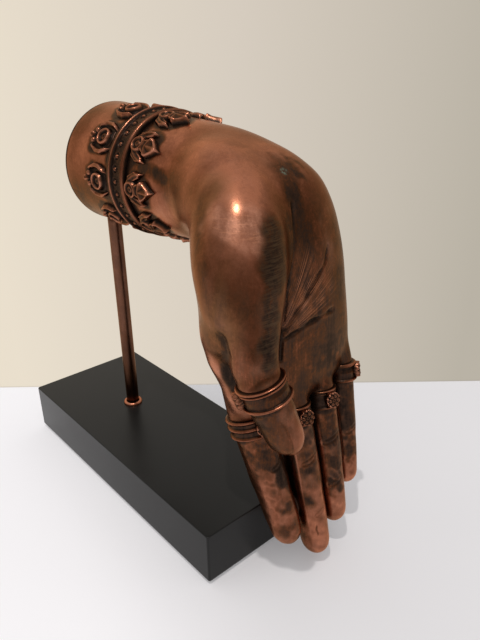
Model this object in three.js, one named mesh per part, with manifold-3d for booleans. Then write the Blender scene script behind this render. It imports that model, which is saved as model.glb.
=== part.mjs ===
// A cast copper hand, lowered with its palm open, on a rod above a block base.
// Millimetres, +Z up. The origin is the middle of the base's underside, +X runs to the fingers' end
// of the block, and the thumb is on the -Y side.
import * as THREE from 'three';
import { mergeVertices } from 'three/addons/utils/BufferGeometryUtils.js';
import Module from 'manifold-3d';

const wasm = await Module();
wasm.setup();

// Base block, felt and what holds the rod in them.
const BASE_LENGTH = 240;
const BASE_WIDTH = 100;
const BASE_HEIGHT = 40;
const BASE_LOWER_ROUND = 3;
const BASE_TOP_CHAMFER = 0.6;
const BASE_CORNER_ROUND = 1.5;
const FELT_THICKNESS = 1;
const FELT_INSET = 6;
const COUNTERBORE_DIAMETER = 24;
const COUNTERBORE_DEPTH = 16;
const WASHER_DIAMETER = 20;
const WASHER_THICKNESS = 1.6;
const NUT_ACROSS_FLATS = 13;
const NUT_HEIGHT = 6.5;

// Rod, its collar and the cup cast into the wrist.
const ROD_DIAMETER = 10;
const ROD_FOOT_DIAMETER = 8;
const ROD_FOOT_OVERHANG = 3;
const ROD_FROM_END = 162.7;
const ROD_EXPOSED = 158;
const ROD_GRIP = 24;
const ROD_CHAMFER = 0.8;
const COLLAR_DIAMETER = 15;
const COLLAR_HEIGHT = 2.4;
const COLLAR_EDGE = 0.7;
const COLLAR_FLAT = 0.8;
const SOCKET_WALL = 3;
const SOCKET_COVER = 2.5;

// Clearances: between a casting and what is set on it, and round the rod.
const SEAT_GAP = 0.3;
const ROD_GAP = 0.3;

// How far a cutting form runs past the face that it opens.
const OVERRUN = 1;

// Wrist: a round stump whose axis runs beside the rod, on the far side from the thumb.
const WRIST_RADIUS = 42.9;
const WRIST_OVERHANG = 23.3;
const WRIST_BESIDE_ROD = 20;
const WRIST_EDGE_ROUND = 2;
const WAIST_RADIUS = 36;
const WAIST_FROM_ROD = 100;

// Bracelet: a studded band between two rows of motifs, each a rosette, a bud and two side leaves.
const BAND_FROM_ROD = 33.5;
const BAND_WIDTH = 19.5;
const BAND_THICKNESS = 2;
const BAND_RIM_WIDTH = 4;
const BAND_RIM_HEIGHT = 3.6;
const STUD_COUNT = 32;
const STUD_DIAMETER = 3.6;
const MOTIF_COUNT = 9;
const MOTIF_PHASE = 103;
const HAND_MOTIF_FROM_BAND = 0.6;
const CUFF_MOTIF_FROM_BAND = 4;
const MOTIF_HEIGHT = 4.6;
const ROSETTE_DIAMETER = 13;
const ROSETTE_PETALS = 4;
const BUD_LENGTH = 17;
const BUD_WIDTH = 11;
const BUD_OVERLAP = 1;
const LEAF_LENGTH = 14;
const LEAF_WIDTH = 6;
const LEAF_HEIGHT = 3.2;

// Outlines in shares of the width and length: a faceted bud, a curled leaf, and where on the rosette
// a leaf grows, in shares of its diameter.
const BUD_OUTLINE = [[0.3, 0], [0.5, 0.5], [0, 1], [-0.5, 0.5], [-0.3, 0]];
const LEAF_OUTLINE = [[0, 0], [0.6, 0.35], [1, 1], [0, 0.75], [-0.5, 0.3]];
const LEAF_ROOT = [0.36, 0.35];

// A raised form: the share of its height at its upright edge, the share of its breadth left on top,
// the depth of a rosette's scallops, and the step between the feet of forms that grow together.
const FORM_EDGE = 0.45;
const FORM_TOP = 0.62;
const SCALLOP_DEPTH = 0.14;
const FOOT_STEP = 0.1;

// Finger rings: a plain band between two bead rims, thinner between the fingers, and a rosette.
const RING_WIDTH = 13;
const RING_THICKNESS = 1;
const RING_RIM_WIDTH = 3;
const RING_RIM_HEIGHT = 2.2;
const RING_THIN_SHARE = 0.2;
const RING_ROSETTE_DIAMETER = 12;
const RING_ROSETTE_HEIGHT = 2.8;
const RING_ROSETTE_PETALS = 6;

// Share of a bead rim's height at its upright edge, on the bracelet and on the rings.
const RIM_EDGE = 0.6;

// Facets round the hand, a finger, the ball of the thumb and the web behind it.
const HAND_SIDES = 32;
const FINGER_SIDES = 16;
const BALL_SIDES = 22;
const WEB_SIDES = 16;

// Sections of the palm, from the waist of the wrist to the knuckles, in the wrist's own frame: its
// origin is on the wrist's axis above the rod. turn is the way the hand points, 0 along +X and 90
// straight down. The half sizes run to the thumb's side, the little finger's side, the palm and the
// back, square above 2 flattens the oval, and slant lifts the little finger's side.
const PALM_SECTIONS = [
  { x: 113, y: 2, z: -2, turn: 18, thumb: 36, little: 37, palm: 35, back: 34, square: 2, slant: 0 },
  { x: 133, y: 5, z: -12, turn: 42, thumb: 38, little: 42, palm: 36.4, back: 30, square: 2.1, slant: 0 },
  { x: 143, y: 7, z: -38, turn: 64, thumb: 42, little: 44.2, palm: 33, back: 25, square: 2.2, slant: 0.05 },
  { x: 149, y: 7, z: -66, turn: 74, thumb: 49, little: 46.8, palm: 27, back: 20, square: 2.3, slant: 0.1 },
  { x: 156, y: 7, z: -93, turn: 75, thumb: 49, little: 48, palm: 20, back: 16, square: 2.4, slant: 0.14 },
  { x: 161, y: 7, z: -112, turn: 75, thumb: 47, little: 47, palm: 15, back: 13, square: 2.4, slant: 0.17 },
  { x: 164, y: 7, z: -122, turn: 75, thumb: 43, little: 45, palm: 11, back: 10, square: 2.4, slant: 0.2 },
];

// Ball of the thumb, from inside the wrist to the thumb's root: places and half sizes.
const BALL_SECTIONS = [
  { at: [88, -4, 1], wide: 29, thick: 31 },
  { at: [116, -12, 1], wide: 29, thick: 32 },
  { at: [142, -25, -7], wide: 26, thick: 28.5 },
  { at: [160.4, -38.6, -28], wide: 26.2, thick: 25.6 },
  { at: [171.3, -46, -53], wide: 21, thick: 20.6 },
  { at: [181.5, -49.5, -69], wide: 14.5, thick: 15 },
  { at: [187, -51, -78], wide: 11.6, thick: 13 },
];

// Web of flesh behind the ball, from inside the palm down the index finger's side.
const WEB_SECTIONS = [
  { at: [146, -33, -24], wide: 20, thick: 19 },
  { at: [150, -36, -40], wide: 21.2, thick: 20.2 },
  { at: [154, -40, -62], wide: 16.8, thick: 16 },
  { at: [157.5, -38, -85], wide: 15, thick: 14 },
  { at: [159, -34.5, -105], wide: 13.2, thick: 12.5 },
  { at: [159.5, -31.8, -118], wide: 11.4, thick: 11.4 },
];

// Digits from the middle of the ring to the tip. lean runs out from the base, fan to the little
// finger's side, joints are the shares of the length where the digit swells, rosette is the turn of
// the ring's rosette from the little finger's side to the pad, and beside lists the neighbours'
// sides: 1 the little finger's, -1 the thumb's.
const DIGITS = [
  {
    name: 'thumb', at: [189.5, -48.5, -86], lean: 17, fan: 15, length: 42, width: 23.5, tip: 19.5,
    root: 12, joints: [0.3], rosette: 212, beside: [],
  },
  {
    name: 'index', at: [159, -30.3, -129.4], lean: 18, fan: 6.5, length: 88, width: 24, tip: 18,
    root: 62, joints: [0.42, 0.72], rosette: 100, beside: [1],
  },
  {
    name: 'middle', at: [168.5, -4, -129], lean: 13.5, fan: 1.6, length: 103, width: 22, tip: 17.5,
    root: 50, joints: [0.42, 0.72], rosette: 100, beside: [-1, 1],
  },
  {
    name: 'ring_finger', at: [167.5, 20.5, -128], lean: 13.8, fan: -1.2, length: 91, width: 21.5,
    tip: 16.5, root: 50, joints: [0.42, 0.72], rosette: 98, beside: [-1, 1],
  },
  {
    name: 'little', at: [164, 43.5, -119.5], lean: 12.5, fan: -3.6, length: 82, width: 19.5, tip: 15,
    root: 46, joints: [0.42, 0.72], rosette: 50, beside: [-1],
  },
];

// A digit's depth over its breadth, the swelling at a joint and its reach along the digit, how late
// the digit tapers, the length of the round tip over its breadth, and the breadth left at the root.
const DIGIT_DEPTH = 1.12;
const JOINT_SWELL = 0.04;
const JOINT_REACH = 0.075;
const TAPER_POWER = 1.5;
const TIP_ROUND = 0.62;
const ROOT_SHRINK = 0.6;

const copper = { color: 0x8a4a2c, roughness: 0.38, metalness: 0.9 };
const brightCopper = { color: 0xc07a4e, roughness: 0.3, metalness: 1 };
const darkCopper = { color: 0x5c3322, roughness: 0.42, metalness: 0.9 };
const blackLacquer = { color: 0x161616, roughness: 0.35, metalness: 0 };
const blackFelt = { color: 0x101010, roughness: 1, metalness: 0 };
const steel = { color: 0x9a9a98, roughness: 0.4, metalness: 1 };

const rad = THREE.MathUtils.degToRad;
const vec = (x, y, z) => new THREE.Vector3(x, y, z);

function centroid(ring) {
  const sum = ring.reduce((total, point) => total.add(point), vec(0, 0, 0));
  return sum.divideScalar(ring.length);
}

function signedVolume(points, index) {
  let total = 0;
  for (let k = 0; k < index.length; k += 3) {
    const [a, b, c] = [points[index[k]], points[index[k + 1]], points[index[k + 2]]];
    total += a.dot(b.clone().cross(c));
  }
  return total / 6;
}

function geometryFrom(points, index) {
  const outward = signedVolume(points, index) > 0;
  const geometry = new THREE.BufferGeometry();
  const numbers = points.flatMap((point) => point.toArray());
  geometry.setAttribute('position', new THREE.Float32BufferAttribute(numbers, 3));
  geometry.setIndex(outward ? index : index.slice().reverse());
  return geometry;
}

// A closed skin through rings of equally many points: its ends are closed by fans, or, where the
// rings run round a loop, the last is joined to the first.
function skin(rings, looped = false) {
  const count = rings[0].length;
  const points = rings.flat();
  const index = [];
  const spans = looped ? rings.length : rings.length - 1;
  for (let ring = 0; ring < spans; ring += 1) {
    const from = ring * count;
    const to = ((ring + 1) % rings.length) * count;
    for (let k = 0; k < count; k += 1) {
      const next = (k + 1) % count;
      index.push(from + k, from + next, to + k, from + next, to + next, to + k);
    }
  }
  if (!looped) {
    const end = (rings.length - 1) * count;
    const first = points.push(centroid(rings[0])) - 1;
    const last = points.push(centroid(rings.at(-1))) - 1;
    for (let k = 0; k < count; k += 1) {
      const next = (k + 1) % count;
      index.push(first, next, k, last, end + k, end + next);
    }
  }
  return geometryFrom(points, index);
}

function solid(geometry) {
  const bare = geometry.clone();
  bare.deleteAttribute('normal');
  bare.deleteAttribute('uv');
  const merged = mergeVertices(bare, 1e-4);
  return new wasm.Manifold(new wasm.Mesh({
    numProp: 3,
    vertProperties: new Float32Array(merged.attributes.position.array),
    triVerts: new Uint32Array(merged.index.array),
  }));
}

function geometryOf(body) {
  const mesh = body.getMesh();
  const geometry = new THREE.BufferGeometry();
  geometry.setAttribute('position', new THREE.BufferAttribute(mesh.vertProperties, 3));
  geometry.setIndex(new THREE.BufferAttribute(mesh.triVerts, 1));
  return geometry;
}

// An upright solid of revolution from [radius, height] corners that start and end on the axis.
function turned(corners, sides = 24) {
  const profile = corners.map(([radius, height]) => new THREE.Vector2(radius, height));
  return new THREE.LatheGeometry(profile, sides).rotateX(Math.PI / 2);
}

function piece(name, geometry, look) {
  const mesh = new THREE.Mesh(geometry, new THREE.MeshStandardMaterial(look));
  mesh.name = name;
  return mesh;
}

// Values of a list of sections, blended smoothly between neighbours.
function blendSections(sections, perSpan) {
  const keys = Object.keys(sections[0]);
  const blended = [];
  const spans = sections.length - 1;
  for (let step = 0; step <= spans * perSpan; step += 1) {
    const span = Math.min(Math.floor(step / perSpan), spans - 1);
    const t = step / perSpan - span;
    const near = [-1, 0, 1, 2].map((k) => sections[THREE.MathUtils.clamp(span + k, 0, spans)]);
    const mix = (pick) => {
      const [a, b, c, d] = near.map(pick);
      const bend = 2 * a - 5 * b + 4 * c - d + t * (3 * b - a - 3 * c + d);
      return b + 0.5 * t * (c - a + t * bend);
    };
    const section = {};
    for (const key of keys) {
      const sample = sections[0][key];
      section[key] = Array.isArray(sample)
        ? sample.map((unused, axis) => mix((entry) => entry[key][axis]))
        : mix((entry) => entry[key]);
    }
    blended.push(section);
  }
  return blended;
}

const rodX = BASE_LENGTH / 2 - ROD_FROM_END;
const rodRadius = ROD_DIAMETER / 2;
const footRadius = ROD_FOOT_DIAMETER / 2;
const counterboreTop = FELT_THICKNESS + COUNTERBORE_DEPTH;

const bandEnd = BAND_FROM_ROD + BAND_WIDTH;

// Radius of the round stump at a place along its axis, drawn in evenly from its end to the waist.
function wristRadius(x) {
  const share = (x + WRIST_OVERHANG) / (WAIST_FROM_ROD + WRIST_OVERHANG);
  return THREE.MathUtils.lerp(WRIST_RADIUS, WAIST_RADIUS, share);
}

// The wrist's own frame: on its axis, at the rod, with its underside on the exposed rod's top.
const wristDrop = Math.sqrt(wristRadius(0) ** 2 - WRIST_BESIDE_ROD ** 2);
const wristAxis = vec(rodX, WRIST_BESIDE_ROD, BASE_HEIGHT + ROD_EXPOSED + wristDrop);

// The cup's mouth lies under the wrist's skin all round, and the rod reaches up into the cup.
const socketOuter = rodRadius + ROD_GAP + SOCKET_WALL;
const socketReach = WRIST_BESIDE_ROD + socketOuter + SEAT_GAP;
const skinRise = Math.sqrt(wristRadius(socketOuter + SEAT_GAP) ** 2 - socketReach ** 2);
const socketMouth = wristAxis.z - skinRise + SOCKET_COVER + SEAT_GAP;
const rodTop = socketMouth + ROD_GRIP;

// A point beside the stump: turn runs from the little finger's side to the palm.
function onWrist(x, turn, height) {
  const radius = wristRadius(x) + height;
  return vec(x, radius * Math.cos(turn), radius * Math.sin(turn));
}

function makeBase() {
  const cornerSteps = 3;
  const roundSteps = 4;
  const ring = (inset, height) => {
    const halfX = BASE_LENGTH / 2 - inset;
    const halfY = BASE_WIDTH / 2 - inset;
    const points = [];
    for (let corner = 0; corner < 4; corner += 1) {
      const signX = corner === 0 || corner === 3 ? 1 : -1;
      const signY = corner < 2 ? 1 : -1;
      for (let step = 0; step <= cornerSteps; step += 1) {
        const angle = rad(90 * (corner + step / cornerSteps));
        const x = signX * (halfX - BASE_CORNER_ROUND) + BASE_CORNER_ROUND * Math.cos(angle);
        const y = signY * (halfY - BASE_CORNER_ROUND) + BASE_CORNER_ROUND * Math.sin(angle);
        points.push(vec(x, y, height));
      }
    }
    return points;
  };
  const rings = [];
  for (let step = 0; step <= roundSteps; step += 1) {
    const angle = rad(90 * (1 - step / roundSteps));
    rings.push(ring(
      BASE_LOWER_ROUND * (1 - Math.cos(angle)),
      FELT_THICKNESS + BASE_LOWER_ROUND * (1 - Math.sin(angle)),
    ));
  }
  rings.push(ring(0, BASE_HEIGHT - BASE_TOP_CHAMFER), ring(BASE_TOP_CHAMFER, BASE_HEIGHT));
  const boreRadius = footRadius + ROD_GAP;
  const bore = turned([
    [0, FELT_THICKNESS - OVERRUN],
    [COUNTERBORE_DIAMETER / 2, FELT_THICKNESS - OVERRUN],
    [COUNTERBORE_DIAMETER / 2, counterboreTop],
    [boreRadius, counterboreTop],
    [boreRadius, BASE_HEIGHT + OVERRUN],
    [0, BASE_HEIGHT + OVERRUN],
  ]).translate(rodX, 0, 0);
  return geometryOf(solid(skin(rings)).subtract(solid(bore)));
}

function makeFelt() {
  const halfX = BASE_LENGTH / 2 - FELT_INSET;
  const halfY = BASE_WIDTH / 2 - FELT_INSET;
  const outline = new THREE.Shape([
    new THREE.Vector2(-halfX, -halfY),
    new THREE.Vector2(halfX, -halfY),
    new THREE.Vector2(halfX, halfY),
    new THREE.Vector2(-halfX, halfY),
  ]);
  return new THREE.ExtrudeGeometry(outline, { depth: FELT_THICKNESS, bevelEnabled: false });
}

function makeRod() {
  const footEnd = counterboreTop - WASHER_THICKNESS - NUT_HEIGHT - ROD_FOOT_OVERHANG;
  return turned([
    [0, footEnd],
    [footRadius - ROD_CHAMFER, footEnd],
    [footRadius, footEnd + ROD_CHAMFER],
    [footRadius, BASE_HEIGHT],
    [rodRadius, BASE_HEIGHT],
    [rodRadius, rodTop - ROD_CHAMFER],
    [rodRadius - ROD_CHAMFER, rodTop],
    [0, rodTop],
  ], 20).translate(rodX, 0, 0);
}

function makeCollar() {
  const inner = rodRadius + ROD_GAP;
  const outer = COLLAR_DIAMETER / 2;
  const profile = [[inner, 0], [outer, 0]];
  const roundSteps = 3;
  for (let step = 0; step <= roundSteps; step += 1) {
    const angle = rad((90 * step) / roundSteps);
    profile.push([
      THREE.MathUtils.lerp(inner + COLLAR_FLAT, outer, Math.cos(angle)),
      THREE.MathUtils.lerp(COLLAR_EDGE, COLLAR_HEIGHT, Math.sin(angle)),
    ]);
  }
  profile.push([inner, COLLAR_HEIGHT], [inner, 0]);
  return turned(profile, 20).translate(rodX, 0, BASE_HEIGHT);
}

function flatRing(outline, holeRadius, thickness) {
  const hole = new THREE.Path().absarc(0, 0, holeRadius, 0, 2 * Math.PI, true);
  outline.holes.push(hole);
  const curveSegments = 10;
  return new THREE.ExtrudeGeometry(outline, { depth: thickness, bevelEnabled: false, curveSegments });
}

function makeWasher() {
  const outline = new THREE.Shape().absarc(0, 0, WASHER_DIAMETER / 2, 0, 2 * Math.PI, false);
  return flatRing(outline, footRadius + ROD_GAP, WASHER_THICKNESS)
    .translate(rodX, 0, counterboreTop - WASHER_THICKNESS);
}

function makeNut() {
  const corner = NUT_ACROSS_FLATS / Math.sqrt(3);
  const outline = new THREE.Shape();
  for (let side = 0; side < 6; side += 1) {
    const x = corner * Math.cos(rad(60 * side));
    const y = corner * Math.sin(rad(60 * side));
    if (side === 0) outline.moveTo(x, y);
    else outline.lineTo(x, y);
  }
  return flatRing(outline, footRadius + ROD_GAP, NUT_HEIGHT)
    .translate(rodX, 0, counterboreTop - WASHER_THICKNESS - NUT_HEIGHT);
}

function makeSocket() {
  const inner = rodRadius + ROD_GAP;
  const top = rodTop + ROD_GAP;
  return turned([
    [0, top],
    [inner, top],
    [inner, socketMouth],
    [socketOuter, socketMouth],
    [socketOuter, top + SOCKET_WALL],
    [0, top + SOCKET_WALL],
  ]).translate(rodX, 0, 0);
}

// The hollow in the casting: a hole for the rod through the skin, wider round the cup.
function makeSocketHollow() {
  const mouth = rodRadius + ROD_GAP;
  const wide = socketOuter + SEAT_GAP;
  const low = socketMouth - SEAT_GAP;
  const top = rodTop + ROD_GAP + SOCKET_WALL + SEAT_GAP;
  return turned([
    [0, BASE_HEIGHT],
    [mouth, BASE_HEIGHT],
    [mouth, low],
    [wide, low],
    [wide, top],
    [0, top],
  ]).translate(rodX, 0, 0);
}

// One oval section of the wrist and palm.
function palmRing(section) {
  const turn = rad(section.turn);
  const along = vec(Math.cos(turn), 0, -Math.sin(turn));
  const palm = vec(Math.sin(turn), 0, Math.cos(turn));
  const side = vec(0, 1, 0).addScaledVector(along, -section.slant);
  const centre = vec(section.x, section.y, section.z);
  const points = [];
  for (let k = 0; k < HAND_SIDES; k += 1) {
    const angle = (2 * Math.PI * k) / HAND_SIDES;
    const oval = (value) => Math.sign(value) * Math.abs(value) ** (2 / section.square);
    const across = oval(Math.cos(angle));
    const up = oval(Math.sin(angle));
    points.push(centre.clone()
      .addScaledVector(side, across * (across > 0 ? section.little : section.thumb))
      .addScaledVector(palm, up * (up > 0 ? section.palm : section.back)));
  }
  return points;
}

function makePalm() {
  const stump = (x, inset) => {
    const radius = wristRadius(x) - inset;
    const size = { thumb: radius, little: radius, palm: radius, back: radius };
    return { x, y: 0, z: 0, turn: 0, ...size, square: 2, slant: 0 };
  };
  const edge = (1 - Math.SQRT1_2) * WRIST_EDGE_ROUND;
  const rings = [
    stump(-WRIST_OVERHANG, WRIST_EDGE_ROUND),
    stump(-WRIST_OVERHANG + edge, edge),
    stump(-WRIST_OVERHANG + WRIST_EDGE_ROUND, 0),
    stump(bandEnd, 0),
  ];
  const flare = blendSections([stump(WAIST_FROM_ROD, 0), ...PALM_SECTIONS], 2);
  return skin([...rings, ...flare].map(palmRing));
}

// A fleshy form of oval sections along a bent line.
function makeFlesh(rows, sides, perSpan) {
  const sections = blendSections(rows, perSpan);
  const place = (k) => vec(...sections[THREE.MathUtils.clamp(k, 0, sections.length - 1)].at);
  return skin(sections.map((section, k) => {
    const along = place(k + 1).sub(place(k - 1)).normalize();
    const across = vec(0, 1, 0).addScaledVector(along, -along.y).normalize();
    const pad = across.clone().cross(along);
    const points = [];
    for (let side = 0; side < sides; side += 1) {
      const angle = (2 * Math.PI * side) / sides;
      points.push(place(k)
        .addScaledVector(across, section.wide * Math.cos(angle))
        .addScaledVector(pad, section.thick * Math.sin(angle)));
    }
    return points;
  }));
}

// Half a digit's breadth at a distance from its ring, swelling at the joints.
function digitHalf(digit, distance) {
  const share = distance / digit.length;
  const swell = digit.joints.reduce(
    (total, joint) => total + JOINT_SWELL * Math.exp(-(((share - joint) / JOINT_REACH) ** 2)),
    1,
  );
  const taper = THREE.MathUtils.lerp(digit.width, digit.tip, Math.max(share, 0) ** TAPER_POWER);
  return (taper / 2) * swell;
}

// A point of a digit's skin, or over it by a height: turn runs from the little finger's side to the
// pad.
function onDigit(digit, distance, turn, height, shrink = 1) {
  const along = vec(Math.tan(rad(digit.lean)), Math.tan(rad(digit.fan)), -1).normalize();
  const pad = vec(1, 0, 0).addScaledVector(along, -along.x).normalize();
  const across = pad.clone().cross(along);
  const half = digitHalf(digit, distance) * shrink;
  return vec(...digit.at)
    .addScaledVector(along, distance)
    .addScaledVector(across, (half + height) * Math.cos(turn))
    .addScaledVector(pad, (half * DIGIT_DEPTH + height) * Math.sin(turn));
}

function digitRing(digit, distance, height, shrink = 1) {
  const points = [];
  for (let k = 0; k < FINGER_SIDES; k += 1) {
    const turn = (2 * Math.PI * k) / FINGER_SIDES;
    const raised = typeof height === 'function' ? height(turn) : height;
    points.push(onDigit(digit, distance, turn, raised, shrink));
  }
  return points;
}

function makeDigit(digit) {
  const shaftSteps = 9;
  const tipSteps = 4;
  const tipLength = digit.tip * TIP_ROUND;
  const shaftEnd = digit.length - tipLength;
  const rings = [digitRing(digit, -digit.root, 0, ROOT_SHRINK)];
  for (let step = 0; step <= shaftSteps; step += 1) {
    const distance = THREE.MathUtils.lerp(-RING_WIDTH / 2, shaftEnd, step / shaftSteps);
    rings.push(digitRing(digit, distance, 0));
  }
  for (let step = 1; step <= tipSteps; step += 1) {
    const angle = rad((90 * step) / (tipSteps + 0.5));
    const distance = digit.length - tipLength * (1 - Math.sin(angle));
    rings.push(digitRing(digit, distance, 0, Math.cos(angle)));
  }
  return skin(rings);
}

// How much of a ring's height is left at a turn: less where a neighbouring finger lies close.
function ringShare(digit, turn) {
  const across = Math.cos(turn);
  if (!digit.beside.includes(Math.sign(across))) return 1;
  return THREE.MathUtils.lerp(1, RING_THIN_SHARE, Math.abs(across));
}

function makeRing(digit) {
  const half = RING_WIDTH / 2;
  const profile = [
    [-half, 0],
    [-half, RIM_EDGE * RING_RIM_HEIGHT],
    [-half + RING_RIM_WIDTH / 2, RING_RIM_HEIGHT],
    [-half + RING_RIM_WIDTH, RING_THICKNESS],
    [half - RING_RIM_WIDTH, RING_THICKNESS],
    [half - RING_RIM_WIDTH / 2, RING_RIM_HEIGHT],
    [half, RIM_EDGE * RING_RIM_HEIGHT],
    [half, 0],
  ];
  const rings = profile.map(([distance, height]) => (
    digitRing(digit, distance, (turn) => SEAT_GAP + height * ringShare(digit, turn))
  ));
  return skin(rings, true);
}

// The room that a finger ring takes in the palm's edge.
function makeRingRoom(digit) {
  const reach = RING_WIDTH / 2 + SEAT_GAP;
  const height = (turn) => 2 * SEAT_GAP + RING_RIM_HEIGHT * ringShare(digit, turn);
  return skin([digitRing(digit, -reach, height), digitRing(digit, digit.length / 2, height)]);
}

// A low domed form over an outline of [across, along] corners, on the flat.
function dome(outline, height, lift = 0) {
  const foot = outline.map(([across, along]) => vec(across, along, 0));
  const middle = centroid(foot);
  const level = (shrink, up) => foot.map((corner) => middle.clone().lerp(corner, shrink).setZ(up));
  return skin([level(1, lift), level(1, FORM_EDGE * height), level(FORM_TOP, height)]);
}

function scallop(diameter, petals) {
  const outline = [];
  const points = 2 * petals;
  for (let k = 0; k < points; k += 1) {
    const angle = (2 * Math.PI * k) / points;
    const dip = (1 - Math.cos(petals * angle)) / 2;
    const radius = (diameter / 2) * (1 - SCALLOP_DEPTH * dip);
    outline.push([radius * Math.cos(angle), radius * Math.sin(angle)]);
  }
  return outline;
}

// Bends a flat form onto a surface that is given by a function of across, along and height.
function bent(geometry, surface) {
  const position = geometry.attributes.position;
  const points = [];
  for (let k = 0; k < position.count; k += 1) {
    points.push(surface(position.getX(k), position.getY(k), position.getZ(k)));
  }
  return geometryFrom(points, Array.from(geometry.index.array));
}

function makeBand() {
  const profile = [
    [0, 0],
    [0, RIM_EDGE * BAND_RIM_HEIGHT],
    [BAND_RIM_WIDTH / 2, BAND_RIM_HEIGHT],
    [BAND_RIM_WIDTH, BAND_THICKNESS],
    [BAND_WIDTH - BAND_RIM_WIDTH, BAND_THICKNESS],
    [BAND_WIDTH - BAND_RIM_WIDTH / 2, BAND_RIM_HEIGHT],
    [BAND_WIDTH, RIM_EDGE * BAND_RIM_HEIGHT],
    [BAND_WIDTH, 0],
  ];
  const rings = profile.map(([along, height]) => {
    const points = [];
    for (let k = 0; k < HAND_SIDES; k += 1) {
      points.push(onWrist(BAND_FROM_ROD + along, (2 * Math.PI * k) / HAND_SIDES, SEAT_GAP + height));
    }
    return points;
  });
  let band = solid(skin(rings, true));
  for (let k = 0; k < STUD_COUNT; k += 1) {
    const turn = (2 * Math.PI * k) / STUD_COUNT;
    const stud = new THREE.SphereGeometry(STUD_DIAMETER / 2, 5, 3);
    const middle = onWrist(BAND_FROM_ROD + BAND_WIDTH / 2, turn, SEAT_GAP + BAND_THICKNESS);
    band = band.add(solid(stud.translate(middle.x, middle.y, middle.z)));
  }
  return geometryOf(band);
}

// One motif on the flat: its foot is at the band, and its bud points away from it.
function motifForms() {
  const rosette = scallop(ROSETTE_DIAMETER, ROSETTE_PETALS)
    .map(([u, v]) => [u, v + ROSETTE_DIAMETER / 2]);
  const budFoot = ROSETTE_DIAMETER - BUD_OVERLAP;
  const bud = BUD_OUTLINE.map(([u, v]) => [u * BUD_WIDTH, budFoot + v * BUD_LENGTH]);
  const leaf = (side) => LEAF_OUTLINE.map(([u, v]) => [
    side * (LEAF_ROOT[0] * ROSETTE_DIAMETER + u * LEAF_WIDTH),
    LEAF_ROOT[1] * ROSETTE_DIAMETER + v * LEAF_LENGTH,
  ]);
  return [
    dome(rosette, MOTIF_HEIGHT),
    dome(bud, MOTIF_HEIGHT, FOOT_STEP),
    dome(leaf(1), LEAF_HEIGHT, 2 * FOOT_STEP),
    dome(leaf(-1), LEAF_HEIGHT, 2 * FOOT_STEP),
  ];
}

// side 1 is the row on the hand's side of the band, -1 the row on the stump's end.
function makeMotif(side, number) {
  const foot = side > 0 ? bandEnd + HAND_MOTIF_FROM_BAND : BAND_FROM_ROD - CUFF_MOTIF_FROM_BAND;
  const middle = rad(MOTIF_PHASE + (360 * number) / MOTIF_COUNT);
  const surface = (across, along, height) => (
    onWrist(foot + side * along, middle + across / WRIST_RADIUS, SEAT_GAP + height)
  );
  return geometryOf(motifForms()
    .map((form) => solid(bent(form, surface)))
    .reduce((whole, form) => whole.add(form)));
}

function makeRingRosette(digit) {
  const foot = 2 * SEAT_GAP + RING_RIM_HEIGHT;
  const reach = digitHalf(digit, 0) * DIGIT_DEPTH + foot;
  const surface = (across, along, height) => (
    onDigit(digit, along, rad(digit.rosette) + across / reach, foot + height)
  );
  const form = dome(scallop(RING_ROSETTE_DIAMETER, RING_ROSETTE_PETALS), RING_ROSETTE_HEIGHT);
  return bent(form, surface);
}

const statue = new THREE.Group();
statue.add(
  piece('base_block', makeBase(), blackLacquer),
  piece('base_felt', makeFelt(), blackFelt),
  piece('base_washer', makeWasher(), steel),
  piece('base_nut', makeNut(), steel),
  piece('support_rod', makeRod(), darkCopper),
  piece('rod_collar', makeCollar(), brightCopper),
  piece('wrist_socket', makeSocket(), steel),
);

function makeCasting() {
  let palm = solid(makePalm())
    .add(solid(makeFlesh(BALL_SECTIONS, BALL_SIDES, 2)))
    .add(solid(makeFlesh(WEB_SECTIONS, WEB_SIDES, 1)));
  for (const digit of DIGITS) palm = palm.subtract(solid(makeRingRoom(digit)));
  for (const digit of DIGITS) palm = palm.add(solid(makeDigit(digit)));
  const hollow = makeSocketHollow().translate(-wristAxis.x, -wristAxis.y, -wristAxis.z);
  return geometryOf(palm.subtract(solid(hollow)));
}

const hand = new THREE.Group();
hand.position.copy(wristAxis);
hand.add(
  piece('hand_casting', makeCasting(), copper),
  piece('bracelet_band', makeBand(), copper),
);
for (let number = 0; number < MOTIF_COUNT; number += 1) {
  hand.add(
    piece(`hand_side_motif_${number + 1}`, makeMotif(1, number), darkCopper),
    piece(`cuff_side_motif_${number + 1}`, makeMotif(-1, number), darkCopper),
  );
}
for (const digit of DIGITS) {
  hand.add(
    piece(`${digit.name}_band`, makeRing(digit), copper),
    piece(`${digit.name}_rosette`, makeRingRosette(digit), darkCopper),
  );
}
statue.add(hand);

export default statue;
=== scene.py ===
import math
from types import SimpleNamespace as Digit

import bmesh
import bpy
import numpy as np
from mathutils import Matrix, Vector


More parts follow.
